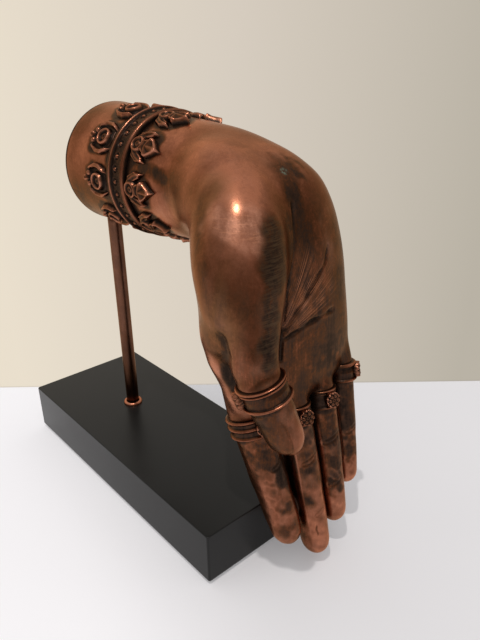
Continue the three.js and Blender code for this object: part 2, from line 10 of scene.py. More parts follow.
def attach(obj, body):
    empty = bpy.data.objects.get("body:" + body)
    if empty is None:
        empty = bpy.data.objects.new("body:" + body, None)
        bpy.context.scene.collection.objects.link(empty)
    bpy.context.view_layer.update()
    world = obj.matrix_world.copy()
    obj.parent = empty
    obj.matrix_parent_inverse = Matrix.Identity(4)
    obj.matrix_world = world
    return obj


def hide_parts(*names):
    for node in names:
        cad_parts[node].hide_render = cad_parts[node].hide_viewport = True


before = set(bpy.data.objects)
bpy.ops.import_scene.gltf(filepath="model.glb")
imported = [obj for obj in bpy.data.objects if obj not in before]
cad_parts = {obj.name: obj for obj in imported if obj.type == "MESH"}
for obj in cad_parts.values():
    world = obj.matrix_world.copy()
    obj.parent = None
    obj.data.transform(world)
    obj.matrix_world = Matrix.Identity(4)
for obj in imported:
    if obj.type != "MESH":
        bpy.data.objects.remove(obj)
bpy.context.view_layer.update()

# Pieces are given in millimetres in the part's own frame, and their meshes are made in metres.
# The camera's clipping, the floor's pattern, the lamp and the materials are in metres.
MM = 0.001

# The hand's own sizes, as in the solids.
WRIST = np.array((-42.7, 20.0, 234.473))
WRIST_RADIUS = 42.9
WRIST_OVERHANG = 23.3
WAIST_RADIUS = 36.0
WAIST_FROM_ROD = 100.0
ROD_X = -42.7
BAND_FROM_ROD = 33.5
BAND_WIDTH = 19.5
BAND_END = BAND_FROM_ROD + BAND_WIDTH
MOTIF_COUNT = 9
MOTIF_PHASE = 103.0
MOTIF_TURNS = [MOTIF_PHASE + 360 * number / MOTIF_COUNT for number in range(MOTIF_COUNT)]
HAND_MOTIF_FROM_BAND = 0.6
CUFF_MOTIF_FROM_BAND = 4.0
# Rows of motifs: name, way along the wrist, and where the motifs begin.
MOTIF_ROWS = (("hand", 1, BAND_END + HAND_MOTIF_FROM_BAND),
              ("cuff", -1, BAND_FROM_ROD - CUFF_MOTIF_FROM_BAND))
DIGIT_DEPTH = 1.12
KNUCKLE_SWELL = 0.04
KNUCKLE_REACH = 0.075
TAPER_POWER = 1.5
RING_WIDTH = 13.0
RING_THIN_SHARE = 0.2
FINGER_JOINTS = (0.42, 0.72)
# Each digit from the middle of its ring, which is given from the wrist. Turns, lean and fan are degrees, and
# joints are shares of the length. beside: the sides on which a finger lies close. nail: turn, distance along,
# half length, and half width as a share of the digit's. worn: patina at the root and at the tip.
DIGITS = {
    "thumb": Digit(at=(189.5, -48.5, -86), lean=17, fan=15, length=42, width=23.5, tip=19.5, joints=(0.3,),
                   rosette=212, beside=(), nail=(163, 24.5, 15, 0.87), worn=(0.42, 0.24)),
    "index": Digit(at=(159, -30.3, -129.4), lean=18, fan=6.5, length=88, width=24, tip=18,
                   joints=FINGER_JOINTS, rosette=100, beside=(1,), nail=(270, 79, 6.4, 0.74),
                   worn=(0.26, 0.13)),
    "middle": Digit(at=(168.5, -4, -129), lean=13.5, fan=1.6, length=103, width=22, tip=17.5,
                    joints=FINGER_JOINTS, rosette=100, beside=(-1, 1), nail=(270, 94, 6.4, 0.74),
                    worn=(0.38, 0.08)),
    "ring_finger": Digit(at=(167.5, 20.5, -128), lean=13.8, fan=-1.2, length=91, width=21.5, tip=16.5,
                         joints=FINGER_JOINTS, rosette=98, beside=(-1, 1), nail=(270, 82, 6.2, 0.74),
                         worn=(0.46, 0.14)),
    "little": Digit(at=(164, 43.5, -119.5), lean=12.5, fan=-3.6, length=82, width=19.5, tip=15,
                    joints=FINGER_JOINTS, rosette=50, beside=(-1,), nail=(270, 73.5, 5.8, 0.74),
                    worn=(0.5, 0.16)),
}


def ease(low, high, value):
    """0 at low and 1 at high, with a smooth passage."""
    share = np.clip((np.asarray(value, float) - low) / (high - low), 0, 1)
    return share * share * (3 - 2 * share)


def lerp(a, b, share):
    return a + (b - a) * share


def bell(distance, width):
    return np.exp(-(distance / width) ** 2)


def dome(distance, radius):
    return np.sqrt(np.maximum(0, 1 - (distance / radius) ** 2))


def turn_steps(count):
    return np.arange(count) * 2 * np.pi / count


def turn_from(turn, degrees):
    """The shorter way from a direction in degrees to turns, in radians."""
    return np.angle(np.exp(1j * (turn - math.radians(degrees))))


def away_from(points, place):
    return np.linalg.norm(points - np.array(place), axis=1)


def ripple(points, size, seed):
    """Soft irregular values from about -1 to 1 over points, with lumps of a given size."""
    draw = np.random.default_rng(seed)
    total = np.zeros(len(points))
    for _ in range(9):
        way = draw.normal(size=3)
        way *= 2 * np.pi / (size * draw.uniform(0.75, 1.6) * 2 * np.linalg.norm(way))
        total += np.sin(points @ way + draw.uniform(0, 2 * np.pi))
    return total / 3.2


def new_object(name, data):
    obj = bpy.data.objects.new(name, data)
    bpy.context.scene.collection.objects.link(obj)
    return obj


def evaluated(obj):
    return obj.evaluated_get(bpy.context.evaluated_depsgraph_get())


def make_object(name, verts, faces, material, smooth=True):
    """A mesh object from millimetre points."""
    mesh = bpy.data.meshes.new(name)
    mesh.from_pydata((np.asarray(verts, float) * MM).tolist(), [], [list(map(int, f)) for f in faces])
    mesh.validate()
    mesh.update()
    obj = new_object(name, mesh)
    mesh.materials.append(material)
    if smooth:
        mesh.shade_smooth()
    return obj


def ride(obj, slot, *nodes):
    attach(obj, "root")
    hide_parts(*nodes)


def ring_faces(rings, count, looped=False):
    """Quads between rings of equally many points. Where they aren't looped, a face closes each end."""
    faces = []
    spans = rings if looped else rings - 1
    for ring in range(spans):
        a = ring * count
        b = ((ring + 1) % rings) * count
        for k in range(count):
            n = (k + 1) % count
            faces.append((a + k, a + n, b + n, b + k))
    if not looped:
        faces.append(tuple(range(count - 1, -1, -1)))
        faces.append(tuple((rings - 1) * count + k for k in range(count)))
    return faces


def outward(obj):
    """Turns every face of a closed mesh outwards."""
    bm = bmesh.new()
    bm.from_mesh(obj.data)
    bmesh.ops.recalc_face_normals(bm, faces=bm.faces)
    bm.to_mesh(obj.data)
    bm.free()
    return obj


TURNED_SIDES = 64


def turned(name, profile, material, looped=False):
    """A solid of revolution about the rod's axis from (radius, height) corners."""
    turn = turn_steps(TURNED_SIDES)
    rings = [np.stack([ROD_X + r * np.cos(turn), r * np.sin(turn), np.full(TURNED_SIDES, h)], 1)
             for r, h in profile]
    faces = ring_faces(len(rings), TURNED_SIDES, looped)
    return outward(make_object(name, np.concatenate(rings), faces, material))


def set_attribute(obj, name, values):
    layer = obj.data.attributes.new(name, "FLOAT", "POINT")
    layer.data.foreach_set("value", np.full(len(obj.data.vertices), values, np.float32))


def set_wear_and_painted_light(obj, patina, rub_and_highlight):
    """The two values that every copper material reads: patina, which on the hand also holds painted shade,
    and rub, which also holds painted highlights and reflections.
    """
    set_attribute(obj, "patina", patina)
    set_attribute(obj, "rub_and_highlight", rub_and_highlight)


def vectors_of(rows, key):
    out = np.zeros(len(rows) * 3, np.float32)
    rows.foreach_get(key, out)
    return out.reshape(-1, 3).astype(float)


def points_of(mesh):
    return vectors_of(mesh.vertices, "co") / MM


def set_points(mesh, points):
    mesh.vertices.foreach_set("co", (points * MM).astype(np.float32).ravel())
    mesh.update()


def normals_of(mesh):
    return vectors_of(mesh.vertex_normals, "vector")


def wrist_radius(x):
    return lerp(WRIST_RADIUS, WAIST_RADIUS, (x + WRIST_OVERHANG) / (WAIST_FROM_ROD + WRIST_OVERHANG))


def on_wrist(x, turn, height):
    x, turn, height = np.broadcast_arrays(np.asarray(x, float), turn, height)
    radius = wrist_radius(x) + height
    return WRIST + np.stack([x, radius * np.cos(turn), radius * np.sin(turn)], -1)


def digit_axes(digit):
    along = np.array((math.tan(math.radians(digit.lean)), math.tan(math.radians(digit.fan)), -1.0))
    along /= np.linalg.norm(along)
    pad = np.array((1.0, 0, 0)) - along[0] * along
    pad /= np.linalg.norm(pad)
    return along, pad, np.cross(pad, along)


def digit_half(digit, distance):
    share = np.asarray(distance, float) / digit.length
    swell = 1 + sum(KNUCKLE_SWELL * bell(share - joint, KNUCKLE_REACH) for joint in digit.joints)
    taper = lerp(digit.width, digit.tip, np.maximum(share, 0) ** TAPER_POWER)
    return taper / 2 * swell


def on_digit(digit, distance, turn, height):
    distance, turn, height = np.broadcast_arrays(np.asarray(distance, float), turn, height)
    along, pad, across = digit_axes(digit)
    half = digit_half(digit, distance)
    return (WRIST + np.array(digit.at) + distance[..., None] * along
            + ((half + height) * np.cos(turn))[..., None] * across
            + ((half * DIGIT_DEPTH + height) * np.sin(turn))[..., None] * pad)


def digit_coords(digit, points):
    """Distance along, across and to the pad's side of points, from the middle of the ring."""
    along, pad, across = digit_axes(digit)
    local = points - (WRIST + np.array(digit.at))
    return local @ along, local @ across, local @ pad


class Nodes:
    """The node tree of a material or world, with short ways to add nodes and links."""

    def __init__(self, owner, output):
        owner.use_nodes = True
        self.owner = owner
        self.tree = owner.node_tree
        self.tree.nodes.clear()
        self.output = self.tree.nodes.new("ShaderNodeOutput" + output)

    def add(self, kind, settings=None, **inputs):
        """A node with its settings and inputs. An input is named, or numbered as i0, i1 and so on."""
        node = self.tree.nodes.new("ShaderNode" + kind)
        for key, value in (settings or {}).items():
            setattr(node, key, value)
        for key, value in inputs.items():
            numbered = key[0] == "i" and key[1:].isdigit()
            socket = node.inputs[int(key[1:]) if numbered else key.replace("_", " ")]
            if isinstance(value, bpy.types.NodeSocket):
                self.tree.links.new(value, socket)
            else:
                socket.default_value = value
        return node

    def math(self, operation, first, *others, clamp=False):
        for other in others:
            settings = dict(operation=operation, use_clamp=clamp)
            first = self.add("Math", settings, i0=first, i1=other).outputs[0]
        return first

    def times(self, *values, clamp=False):
        return self.math("MULTIPLY", *values, clamp=clamp)

    def plus(self, *values):
        return self.math("ADD", *values)

    def dot(self, vector, way):
        node = self.add("VectorMath", dict(operation="DOT_PRODUCT"), i0=vector, i1=tuple(way))
        return node.outputs["Value"]

    def mix(self, share, a, b):
        return self.add("Mix", dict(data_type="RGBA"), i0=share, i6=a, i7=b).outputs[2]

    def mixf(self, share, a, b):
        return self.add("Mix", dict(data_type="FLOAT"), i0=share, i2=a, i3=b).outputs[0]

    def blend(self, share, a, b):
        return self.add("MixShader", i0=share, i1=a.outputs[0], i2=b.outputs[0])

    def ramp(self, share, stops):
        node = self.add("ValToRGB", i0=share)
        ramp = node.color_ramp
        while len(ramp.elements) < len(stops):
            ramp.elements.new(0.5)
        for element, (place, colour) in zip(ramp.elements, stops):
            element.position = place
            element.color = (*colour, 1)
        return node.outputs[0]

    def range(self, value, low, high, to_low=0.0, to_high=1.0, kind="SMOOTHSTEP"):
        settings = dict(interpolation_type=kind)
        return self.add("MapRange", settings, i0=value, i1=low, i2=high, i3=to_low, i4=to_high).outputs[0]

    def noise(self, scale, detail, roughness, rotation=(0, 0, 0), distortion=0.0, vector=None):
        """Noise at a scale per metre, or at three scales along turned axes."""
        if vector is None:
            vector = self.add("TexCoord").outputs["Object"]
        if isinstance(scale, tuple):
            vector = self.add("Mapping", Scale=scale, Rotation=rotation, Vector=vector).outputs[0]
            scale = 1.0
        node = self.add("TexNoise", Scale=scale, Detail=detail, Roughness=roughness, Distortion=distortion,
                        Vector=vector)
        return node.outputs["Fac"]

    def attribute(self, name):
        return self.add("Attribute", dict(attribute_name=name)).outputs["Fac"]

    def bump(self, height, strength, distance):
        return self.add("Bump", Strength=strength, Distance=distance, Height=height).outputs[0]

    def show(self, shader):
        self.tree.links.new(shader.outputs[0], self.output.inputs["Surface"])
        return self.owner

    def finish(self, **inputs):
        return self.show(self.add("BsdfPrincipled", **inputs))


def material_nodes(name):
    return Nodes(bpy.data.materials.new(name), "Material")


# Copper stays warm where it is seen edge-on.
EDGE_TINT = (1.0, 0.77, 0.62, 1)
# Metal from rubbed to blackened, over the patina's thickness.
COPPER_TONES = [(0.0, (0.44, 0.16, 0.086)), (0.13, (0.278, 0.098, 0.053)), (0.3, (0.15, 0.0495, 0.0235)),
                (0.46, (0.087, 0.034, 0.016)), (0.66, (0.049, 0.0265, 0.0182)),
                (0.95, (0.0165, 0.011, 0.009))]
# The same for the brown film on parts of the hand, thin and thick.
OLIVE_TONES = [(0.19, 0.09, 0.036, 1), (0.045, 0.026, 0.0155, 1)]
# The tone of rubbed metal, also given to painted highlights and reflections.
RUBBED_AND_HIGHLIGHT_TONE = (0.68, 0.31, 0.2, 1)
BRUSHED_TONE = (0.66, 0.27, 0.14, 1)
RAY_TONE = (0.62, 0.235, 0.115, 1)
HATCH_TONE = (0.13, 0.08, 0.045, 1)
GREEN_TONE = (0.17, 0.19, 0.14, 1)


def copper_material(name, tone=1.0, dark=0.0, skin=False):
    """Rubbed copper under a brown patina that is thickest in the hollows, with painted shade and painted
    highlights where the patina and rub values carry them. skin adds the hand's own marks.
    """
    n = material_nodes(name)
    rub_and_highlight = n.attribute("rub_and_highlight")
    patina = n.attribute("patina")
    broad = n.noise(28, 4, 0.6)
    mottle = n.noise(105, 6, 0.66, distortion=0.8)
    fine = n.noise(560, 4, 0.65)
    streak = n.noise((130, 130, 20), 5, 0.62)
    grain = n.noise((1000, 1000, 60), 4, 0.65)
    cross = n.noise((150, 900, 900), 3, 0.6, (0.5, 0.9, 0.3))
    amounts = ((grain, 0.55), (broad, 0.45), (mottle, 0.9), (streak, 0.8), (fine, 0.6))
    uneven = n.plus(*[n.times(n.math("SUBTRACT", pattern, 0.5), amount) for pattern, amount in amounts])
    shade = n.plus(patina, dark, n.times(uneven, n.range(patina, 0.25, 0.6, 0.3, 1.0)))
    if skin:
        turn = n.add("CombineXYZ", i0=n.attribute("fan_turn")).outputs[0]
        rays = n.noise(1.1, 3, 0.65, vector=turn)
        fan = n.times(n.attribute("fan"), n.range(n.noise(90, 3, 0.6), 0.36, 0.6, 0.1, 1.0))
        shade = n.plus(shade, n.times(fan, n.range(rays, 0.44, 0.36, 0.0, 0.4)))
    colour = n.ramp(shade, [(place, [tone * c for c in colour]) for place, colour in COPPER_TONES])
    film = n.range(n.noise((36, 36, 12), 3, 0.6), 0.4, 0.66, 0.2, 0.85)
    brown = n.mix(n.range(shade, 0.1, 0.7), *OLIVE_TONES)
    colour = n.mix(n.times(film, n.attribute("olive")), colour, brown)
    scratch = n.math("MAXIMUM", n.range(cross, 0.45, 0.7), n.range(grain, 0.48, 0.72))
    worn = n.range(streak, 0.4, 0.58, 0.45, 1.0)
    blotch = n.range(n.noise(60, 2, 0.5, distortion=0.3), 0.32, 0.65, 0.55, 1.0)
    bright = n.times(rub_and_highlight, n.mixf(scratch, 0.7, 1.0), worn, blotch)
    if skin:
        arcs = n.noise((90, 160, 1100), 3, 0.6, (0.35, 0.3, 0.0))
        brushed = n.times(n.range(rub_and_highlight, 0.4, 1.0, 0.0, 0.4), n.range(arcs, 0.5, 0.68))
        colour = n.mix(brushed, colour, BRUSHED_TONE)
        hatch = n.noise((110, 110, 1400), 3, 0.6)
        hatched = n.times(n.attribute("stripe"), n.range(hatch, 0.42, 0.62), 0.45)
        colour = n.mix(hatched, colour, HATCH_TONE)
        colour = n.mix(n.times(fan, n.range(rays, 0.5, 0.6, 0.0, 0.85)), colour, RAY_TONE)
    # Rubbed metal lightens here, and so do painted highlights and reflections.
    colour = n.mix(n.times(bright, 0.85, clamp=True), colour, RUBBED_AND_HIGHLIGHT_TONE)
    if skin:
        green = n.times(n.attribute("green"), n.range(fine, 0.42, 0.62))
        colour = n.mix(green, colour, GREEN_TONE)
    cover = n.range(shade, 0.4, 0.95)
    rough = n.mixf(cover, n.mixf(grain, 0.22, 0.36), 0.42)
    height = n.plus(n.times(grain, 0.5), n.times(mottle, 0.6), n.times(cross, 0.35))
    return n.finish(Base_Color=colour, Metallic=n.mixf(cover, 1.0, 0.88), Roughness=rough,
                    Specular_Tint=EDGE_TINT, Specular_IOR_Level=0.35, Normal=n.bump(height, 0.16, 0.0004))


def lacquer_material():
    n = material_nodes("satin_black_lacquer")
    cloud = n.noise(26, 3, 0.5)
    speck = n.noise(900, 3, 0.6)
    scuff = n.noise((40, 400, 700), 5, 0.7)
    colour = n.mix(cloud, (0.0085, 0.0085, 0.008, 1), (0.014, 0.0135, 0.0125, 1))
    colour = n.mix(n.range(scuff, 0.66, 0.8, 0.0, 0.25), colour, (0.06, 0.06, 0.058, 1))
    return n.finish(Base_Color=colour, Roughness=n.mixf(cloud, 0.27, 0.36), Specular_IOR_Level=0.22,
                    Normal=n.bump(speck, 0.08, 0.0002))


def felt_material():
    n = material_nodes("black_felt")
    fibre = n.noise(1500, 4, 0.7)
    colour = n.mix(fibre, (0.006, 0.006, 0.006, 1), (0.022, 0.022, 0.021, 1))
    return n.finish(Base_Color=colour, Roughness=0.95, Normal=n.bump(fibre, 0.6, 0.0006))


def steel_material():
    n = material_nodes("plated_steel")
    brush = n.noise((300, 300, 2500), 4, 0.6)
    colour = n.mix(brush, (0.42, 0.42, 0.41, 1), (0.6, 0.6, 0.58, 1))
    return n.finish(Base_Color=colour, Metallic=1.0, Roughness=n.mixf(brush, 0.28, 0.45),
                    Normal=n.bump(brush, 0.1, 0.0002))


# The camera, with its turns in radians.
CAMERA = Vector((341.7032, -214.9285, 314.1366)) * MM
YAW = -0.85228
PITCH = 0.43369
ROLL = -0.013867
FOCAL_PIXELS = 598.332
FRAME_HEIGHT = 640
SENSOR = 36.0
CLIP_START = 0.01
CLIP_END = 50


def make_camera():
    data = bpy.data.cameras.new("camera")
    data.sensor_width = SENSOR
    data.lens = SENSOR * FOCAL_PIXELS / FRAME_HEIGHT
    data.clip_start = CLIP_START
    data.clip_end = CLIP_END
    camera = new_object("camera", data)
    aim = Matrix.Rotation(-YAW, 4, "Z") @ Matrix.Rotation(math.pi / 2 - PITCH, 4, "X")
    camera.matrix_world = Matrix.Translation(CAMERA) @ aim @ Matrix.Rotation(ROLL, 4, "Z")
    bpy.context.scene.camera = camera


# The table ends in a line behind the block, a thin band of painted shade where the table meets the wall, and
# the wall's tone lies beyond it.
TABLE_REACH = 0.5235
JOIN_SHADE_HALF = 0.003
HEADING = Vector((math.sin(YAW), math.cos(YAW), 0))
ASIDE = Vector((math.cos(YAW), -math.sin(YAW), 0))
WALL_TONES = [(0.0, (0.82, 0.737, 0.61)), (0.5, (0.672, 0.604, 0.52)), (1.0, (0.485, 0.445, 0.375))]
WALL_SPREAD = 0.42
LEAST_DEPTH = 0.05
ROOM_TONE = (0.36, 0.325, 0.285, 1)
CEILING_TONE = (0.7, 0.69, 0.68, 1)
TABLE_TONES = [(0.71, 0.697, 0.71, 1), (0.6887, 0.67609, 0.6887, 1)]
JOIN_SHADE_TONE = (0.2, 0.18, 0.16, 1)
# A painted glow on the table: an emission for camera and glossy rays, stronger on the left, that brightens
# the table and lightens its shadows.
PAINTED_GLOW_TONE = (1, 0.98, 1, 1)
PAINTED_GLOW_LEFT = 0.34
PAINTED_GLOW_RIGHT = 0.16
FILL_TONE = (0.64, 0.64, 0.64, 1)
FLOOR_REACH = 12000.0


def wall_share(n, offset):
    """For an offset from the camera: its share from the picture's left edge to its right, and its depth."""
    depth = n.dot(offset, HEADING)
    slope = n.math("DIVIDE", n.dot(offset, ASIDE), n.math("MAXIMUM", depth, LEAST_DEPTH))
    return n.range(slope, -WALL_SPREAD, WALL_SPREAD, kind="LINEAR"), depth


def make_floor():
    """A pale table top with a painted glow that brightens it, most on the left, and a thin band of painted
    shade at its far edge, past which it shows the wall's tone.
    """
    n = material_nodes("pale_floor")
    place = n.add("NewGeometry").outputs["Position"]
    offset = n.add("VectorMath", dict(operation="SUBTRACT"), i0=place, i1=tuple(CAMERA)).outputs[0]
    share, depth = wall_share(n, offset)
    # A thin band of painted shade along the table's far edge.
    edge = n.math("ABSOLUTE", n.math("SUBTRACT", depth, TABLE_REACH), 0.0)
    wall = n.mix(n.range(edge, 0.0, JOIN_SHADE_HALF, 0.3, 0.0), n.ramp(share, WALL_TONES), JOIN_SHADE_TONE)
    beyond = n.range(depth, TABLE_REACH - 0.001, TABLE_REACH + 0.001)
    cloth = n.add("BsdfDiffuse", Color=n.mix(n.noise(6, 3, 0.5), *TABLE_TONES))
    path = n.add("LightPath").outputs
    seen = n.math("MAXIMUM", path["Is Camera Ray"], path["Is Glossy Ray"], path["Is Transmission Ray"])
    # The painted glow, which brightens the table and lightens its shadows though no lamp is there.
    strength = n.times(seen, n.range(share, 0.0, 0.7, PAINTED_GLOW_LEFT, PAINTED_GLOW_RIGHT))
    painted_glow = n.add("Emission", Color=PAINTED_GLOW_TONE, Strength=strength)
    near = n.add("AddShader", i0=cloth.outputs[0], i1=painted_glow.outputs[0])
    glow = n.add("Emission", Color=wall, Strength=1.0)
    material = n.show(n.blend(n.times(beyond, seen), near, glow))
    corners = [(x * FLOOR_REACH, y * FLOOR_REACH, 0) for x, y in ((-1, -1), (1, -1), (1, 1), (-1, 1))]
    floor = make_object("pale_floor", corners, [(0, 1, 2, 3)], material, False)


def make_world():
    """A pale wall behind the object, a bright ceiling, and a dimmer room on the camera's side."""
    world = bpy.data.worlds.new("soft_room")
    bpy.context.scene.world = world
    n = Nodes(world, "World")
    way = n.add("TexCoord").outputs["Generated"]
    share, toward = wall_share(n, way)
    height = n.add("SeparateXYZ", i0=way).outputs[2]
    around = n.mix(n.range(toward, -0.25, 0.35), ROOM_TONE, n.ramp(share, WALL_TONES))
    room = n.mix(n.range(height, 0.3, 0.85), around, CEILING_TONE)
    seen = n.add("Background", Color=room, Strength=1.0)
    even = n.add("Background", Color=FILL_TONE, Strength=1.0)
    n.show(n.blend(n.add("LightPath").outputs["Is Diffuse Ray"], seen, even))


LAMP_WAY = Vector((0.18, -0.26, 1.0)).normalized()
LAMP_AIM = Vector((0.05, 0.0, 0.14))
LAMP_DISTANCE = 1.6
LAMP_SIZE = 0.036
LAMP_POWER = 8.0
LAMP_COLOUR = (1.0, 0.97, 0.94)


def make_lamp():
    data = bpy.data.lights.new("key", "AREA")
    data.shape = "DISK"
    data.size = LAMP_SIZE
    data.energy = LAMP_POWER
    data.color = LAMP_COLOUR
    lamp = new_object("key", data)
    lamp.location = LAMP_AIM + LAMP_WAY * LAMP_DISTANCE
    lamp.rotation_mode = "QUATERNION"
    lamp.rotation_quaternion = (-LAMP_WAY).to_track_quat("-Z", "Y")


bpy.context.scene.view_settings.view_transform = "Standard"
make_camera()
make_floor()
make_world()
make_lamp()

lacquer = lacquer_material()
felt = felt_material()
steel = steel_material()
copper = copper_material("rubbed_copper", skin=True)
ornament_copper = copper_material("ornament_copper", 0.95, 0.1)
cluster_copper = copper_material("cluster_copper", 0.9, 0.24)
rod_copper = copper_material("rod_copper", 0.9, 0.25)
collar_copper = copper_material("collar_copper", 1.1, -0.2)


BASE_HALF = (120.0, 50.0)
BASE_TOP = 40.0
BASE_CORNER = 1.5
CORNER_STEPS = 6
LOWER_ROUND = 3.0
LOWER_STEPS = 8
UPPER_ROUND = 0.6
UPPER_STEPS = 4
FELT_THICKNESS = 1.0


def base_ring(inset, height):
    """The block's outline with rounded corners, drawn in by an inset."""
    points = []
    for corner, (sx, sy) in enumerate(((1, 1), (-1, 1), (-1, -1), (1, -1))):
        for step in range(CORNER_STEPS + 1):
            angle = math.radians(90 * (corner + step / CORNER_STEPS))
            x = sx * (BASE_HALF[0] - inset - BASE_CORNER) + BASE_CORNER * math.cos(angle)
            y = sy * (BASE_HALF[1] - inset - BASE_CORNER) + BASE_CORNER * math.sin(angle)
            points.append((x, y, height))
    return np.array(points)


def rounding(radius, steps):
    """Inset and drop of points along a quarter round, from its side to its top."""
    angles = [math.radians(90 * step / steps) for step in range(steps + 1)]
    return [(radius * (1 - math.cos(angle)), radius * (1 - math.sin(angle))) for angle in angles]


def make_base():
    lower = reversed(rounding(LOWER_ROUND, LOWER_STEPS))
    upper = rounding(UPPER_ROUND, UPPER_STEPS)
    rings = [base_ring(LOWER_ROUND + 1.0, FELT_THICKNESS)]
    rings += [base_ring(inset, FELT_THICKNESS + drop) for inset, drop in lower]
    rings.append(base_ring(0, FELT_THICKNESS + LOWER_ROUND + 0.5))
    rings.append(base_ring(0, BASE_TOP - UPPER_ROUND - 0.5))
    rings += [base_ring(inset, BASE_TOP - drop) for inset, drop in upper]
    rings.append(base_ring(UPPER_ROUND + 0.6, BASE_TOP))
    faces = ring_faces(len(rings), len(rings[0]))
    obj = outward(make_object("base_body", np.concatenate(rings), faces, lacquer))
    ride(obj, "black_lacquer", "base_block")


ROD_RADIUS = 5.0
ROD_TOP = 202.5
ROD_CHAMFER = 0.4
ROD_RINGS = (40.3, 60.0, 100.0, 150.0, 196.0, ROD_TOP)
END_RADIUS = 0.02
COLLAR_INNER = 5.1
COLLAR_OUTER = 7.5
COLLAR_HEIGHT = 2.4
COLLAR_STEPS = 8


def make_rod():
    profile = [(END_RADIUS, BASE_TOP), (ROD_RADIUS - ROD_CHAMFER, BASE_TOP)]
    profile += [(ROD_RADIUS, height) for height in ROD_RINGS]
    profile.append((END_RADIUS, ROD_TOP))
    rod = turned("rod", profile, rod_copper)
    heights = points_of(rod.data)[:, 2]
    set_wear_and_painted_light(rod, lerp(0.28, 0.3, ease(55, 105, heights)), 0.25 * ease(60, 110, heights))
    ride(rod, "dark_copper", "support_rod")


def make_collar():
    profile = [(COLLAR_INNER, BASE_TOP), (COLLAR_OUTER, BASE_TOP), (COLLAR_OUTER, BASE_TOP + 0.5)]
    for step in range(COLLAR_STEPS + 1):
        angle = math.radians(90 * step / COLLAR_STEPS)
        radius = lerp(COLLAR_INNER + 0.8, COLLAR_OUTER, math.cos(angle))
        profile.append((radius, BASE_TOP + lerp(0.7, COLLAR_HEIGHT, math.sin(angle))))
    profile.append((COLLAR_INNER, BASE_TOP + COLLAR_HEIGHT))
    collar = turned("collar", profile, collar_copper, looped=True)
    set_wear_and_painted_light(collar, 0.05, 0.6)
    ride(collar, "bright_copper", "rod_collar")


make_base()
make_rod()
make_collar()


# Heights of a relief: bare skin, the lowest cell that is kept, its lowest edge, and its underside.
BARE = -1.6
RELIEF_KEPT = -0.5
RELIEF_EDGE = -0.9
RELIEF_FLOOR = -1.4
RELIEF_STEP = 0.4
CLUSTER_STEP = 0.3
WEATHER_ROUNDS = 10
DARK_RELIEF = 0.82
DARK_RING = 0.6


def blurred(field, rounds):
    """A grid of values, each averaged with its neighbours."""
    for _ in range(rounds):
        wide = np.pad(field, 1, mode="edge")
        field = (wide[:-2, 1:-1] + wide[2:, 1:-1] + wide[1:-1, :-2] + wide[1:-1, 2:] + 2 * field) / 6
    return field


def weather(height, low, high, base):
    """Patina in the hollows of a relief and bare metal on its crests."""
    hollow = blurred(height, WEATHER_ROUNDS) - height
    level = ease(low, high, height)
    patina = np.clip(base - 0.4 * level + 1.1 * hollow, 0, 1)
    rub_and_highlight = np.clip(0.9 * -hollow + 0.12 * level - 0.12, 0, 0.65)
    return patina, rub_and_highlight


def relief(name, across, along, height, surface, material):
    """A closed shell under a grid of heights over a surface: what lies well below it is left out."""
    u, v = np.meshgrid(across, along, indexing="ij")
    h = height(u, v)
    cells = np.max([h[:-1, :-1], h[1:, :-1], h[:-1, 1:], h[1:, 1:]], axis=0) > RELIEF_KEPT
    for _ in range(3):
        saddle = cells[:-1, :-1] & cells[1:, 1:] & ~cells[1:, :-1] & ~cells[:-1, 1:]
        cells[1:, :-1] |= saddle
        saddle = cells[1:, :-1] & cells[:-1, 1:] & ~cells[:-1, :-1] & ~cells[1:, 1:]
        cells[:-1, :-1] |= saddle
    used = np.zeros(h.shape, bool)
    for di, dj in ((0, 0), (1, 0), (0, 1), (1, 1)):
        used[di:di + cells.shape[0], dj:dj + cells.shape[1]] |= cells
    number = np.full(h.shape, -1)
    count = int(used.sum())
    number[used] = np.arange(count)
    h = np.maximum(h, RELIEF_EDGE)
    verts = np.concatenate([surface(u[used], v[used], h[used]),
                            surface(u[used], v[used], np.full(count, RELIEF_FLOOR))])
    i, j = np.nonzero(cells)
    quads = np.stack([number[i, j], number[i + 1, j], number[i + 1, j + 1], number[i, j + 1]], 1)
    faces = [quads, quads[:, ::-1] + count]
    framed = np.pad(cells, 1)
    for (di, dj), (a, b) in (((-1, 0), (0, 3)), ((1, 0), (2, 1)), ((0, -1), (1, 0)), ((0, 1), (3, 2))):
        rim = ~framed[i + 1 + di, j + 1 + dj]
        one, two = quads[rim, a], quads[rim, b]
        faces.append(np.stack([one, two, two + count, one + count], 1))
    obj = outward(make_object(name, verts, np.concatenate(faces), material))
    patina, rub_and_highlight = weather(h, 0.5, 3.8, DARK_RELIEF)
    under = np.ones(count)
    set_wear_and_painted_light(obj, np.concatenate([patina[used], under]), np.concatenate([rub_and_highlight[used], 0 * under]))
    return obj


def segment_distance(u, v, a, b):
    a, b = np.array(a, float), np.array(b, float)
    du, dv = b - a
    share = np.clip(((u - a[0]) * du + (v - a[1]) * dv) / (du * du + dv * dv), 0, 1)
    return np.hypot(u - a[0] - share * du, v - a[1] - share * dv)


def path_distance(u, v, path):
    return np.min([segment_distance(u, v, a, b) for a, b in zip(path, path[1:])], axis=0)


def inside_distance(u, v, outline):
    """Distance from an outline, positive inside it."""
    inside = np.zeros(np.shape(u), bool)
    closed = list(outline) + [outline[0]]
    for (au, av), (bu, bv) in zip(closed, closed[1:]):
        if av == bv:
            continue
        crosses = ((av > v) != (bv > v)) & (u < au + (v - av) / (bv - av) * (bu - au))
        inside ^= crosses
    away = path_distance(u, v, closed)
    return np.where(inside, away, -away)


def raised(place, height, outer, inner):
    """A height that rises from bare skin between an outer and an inner place."""
    return lerp(BARE, height, ease(outer, inner, place))


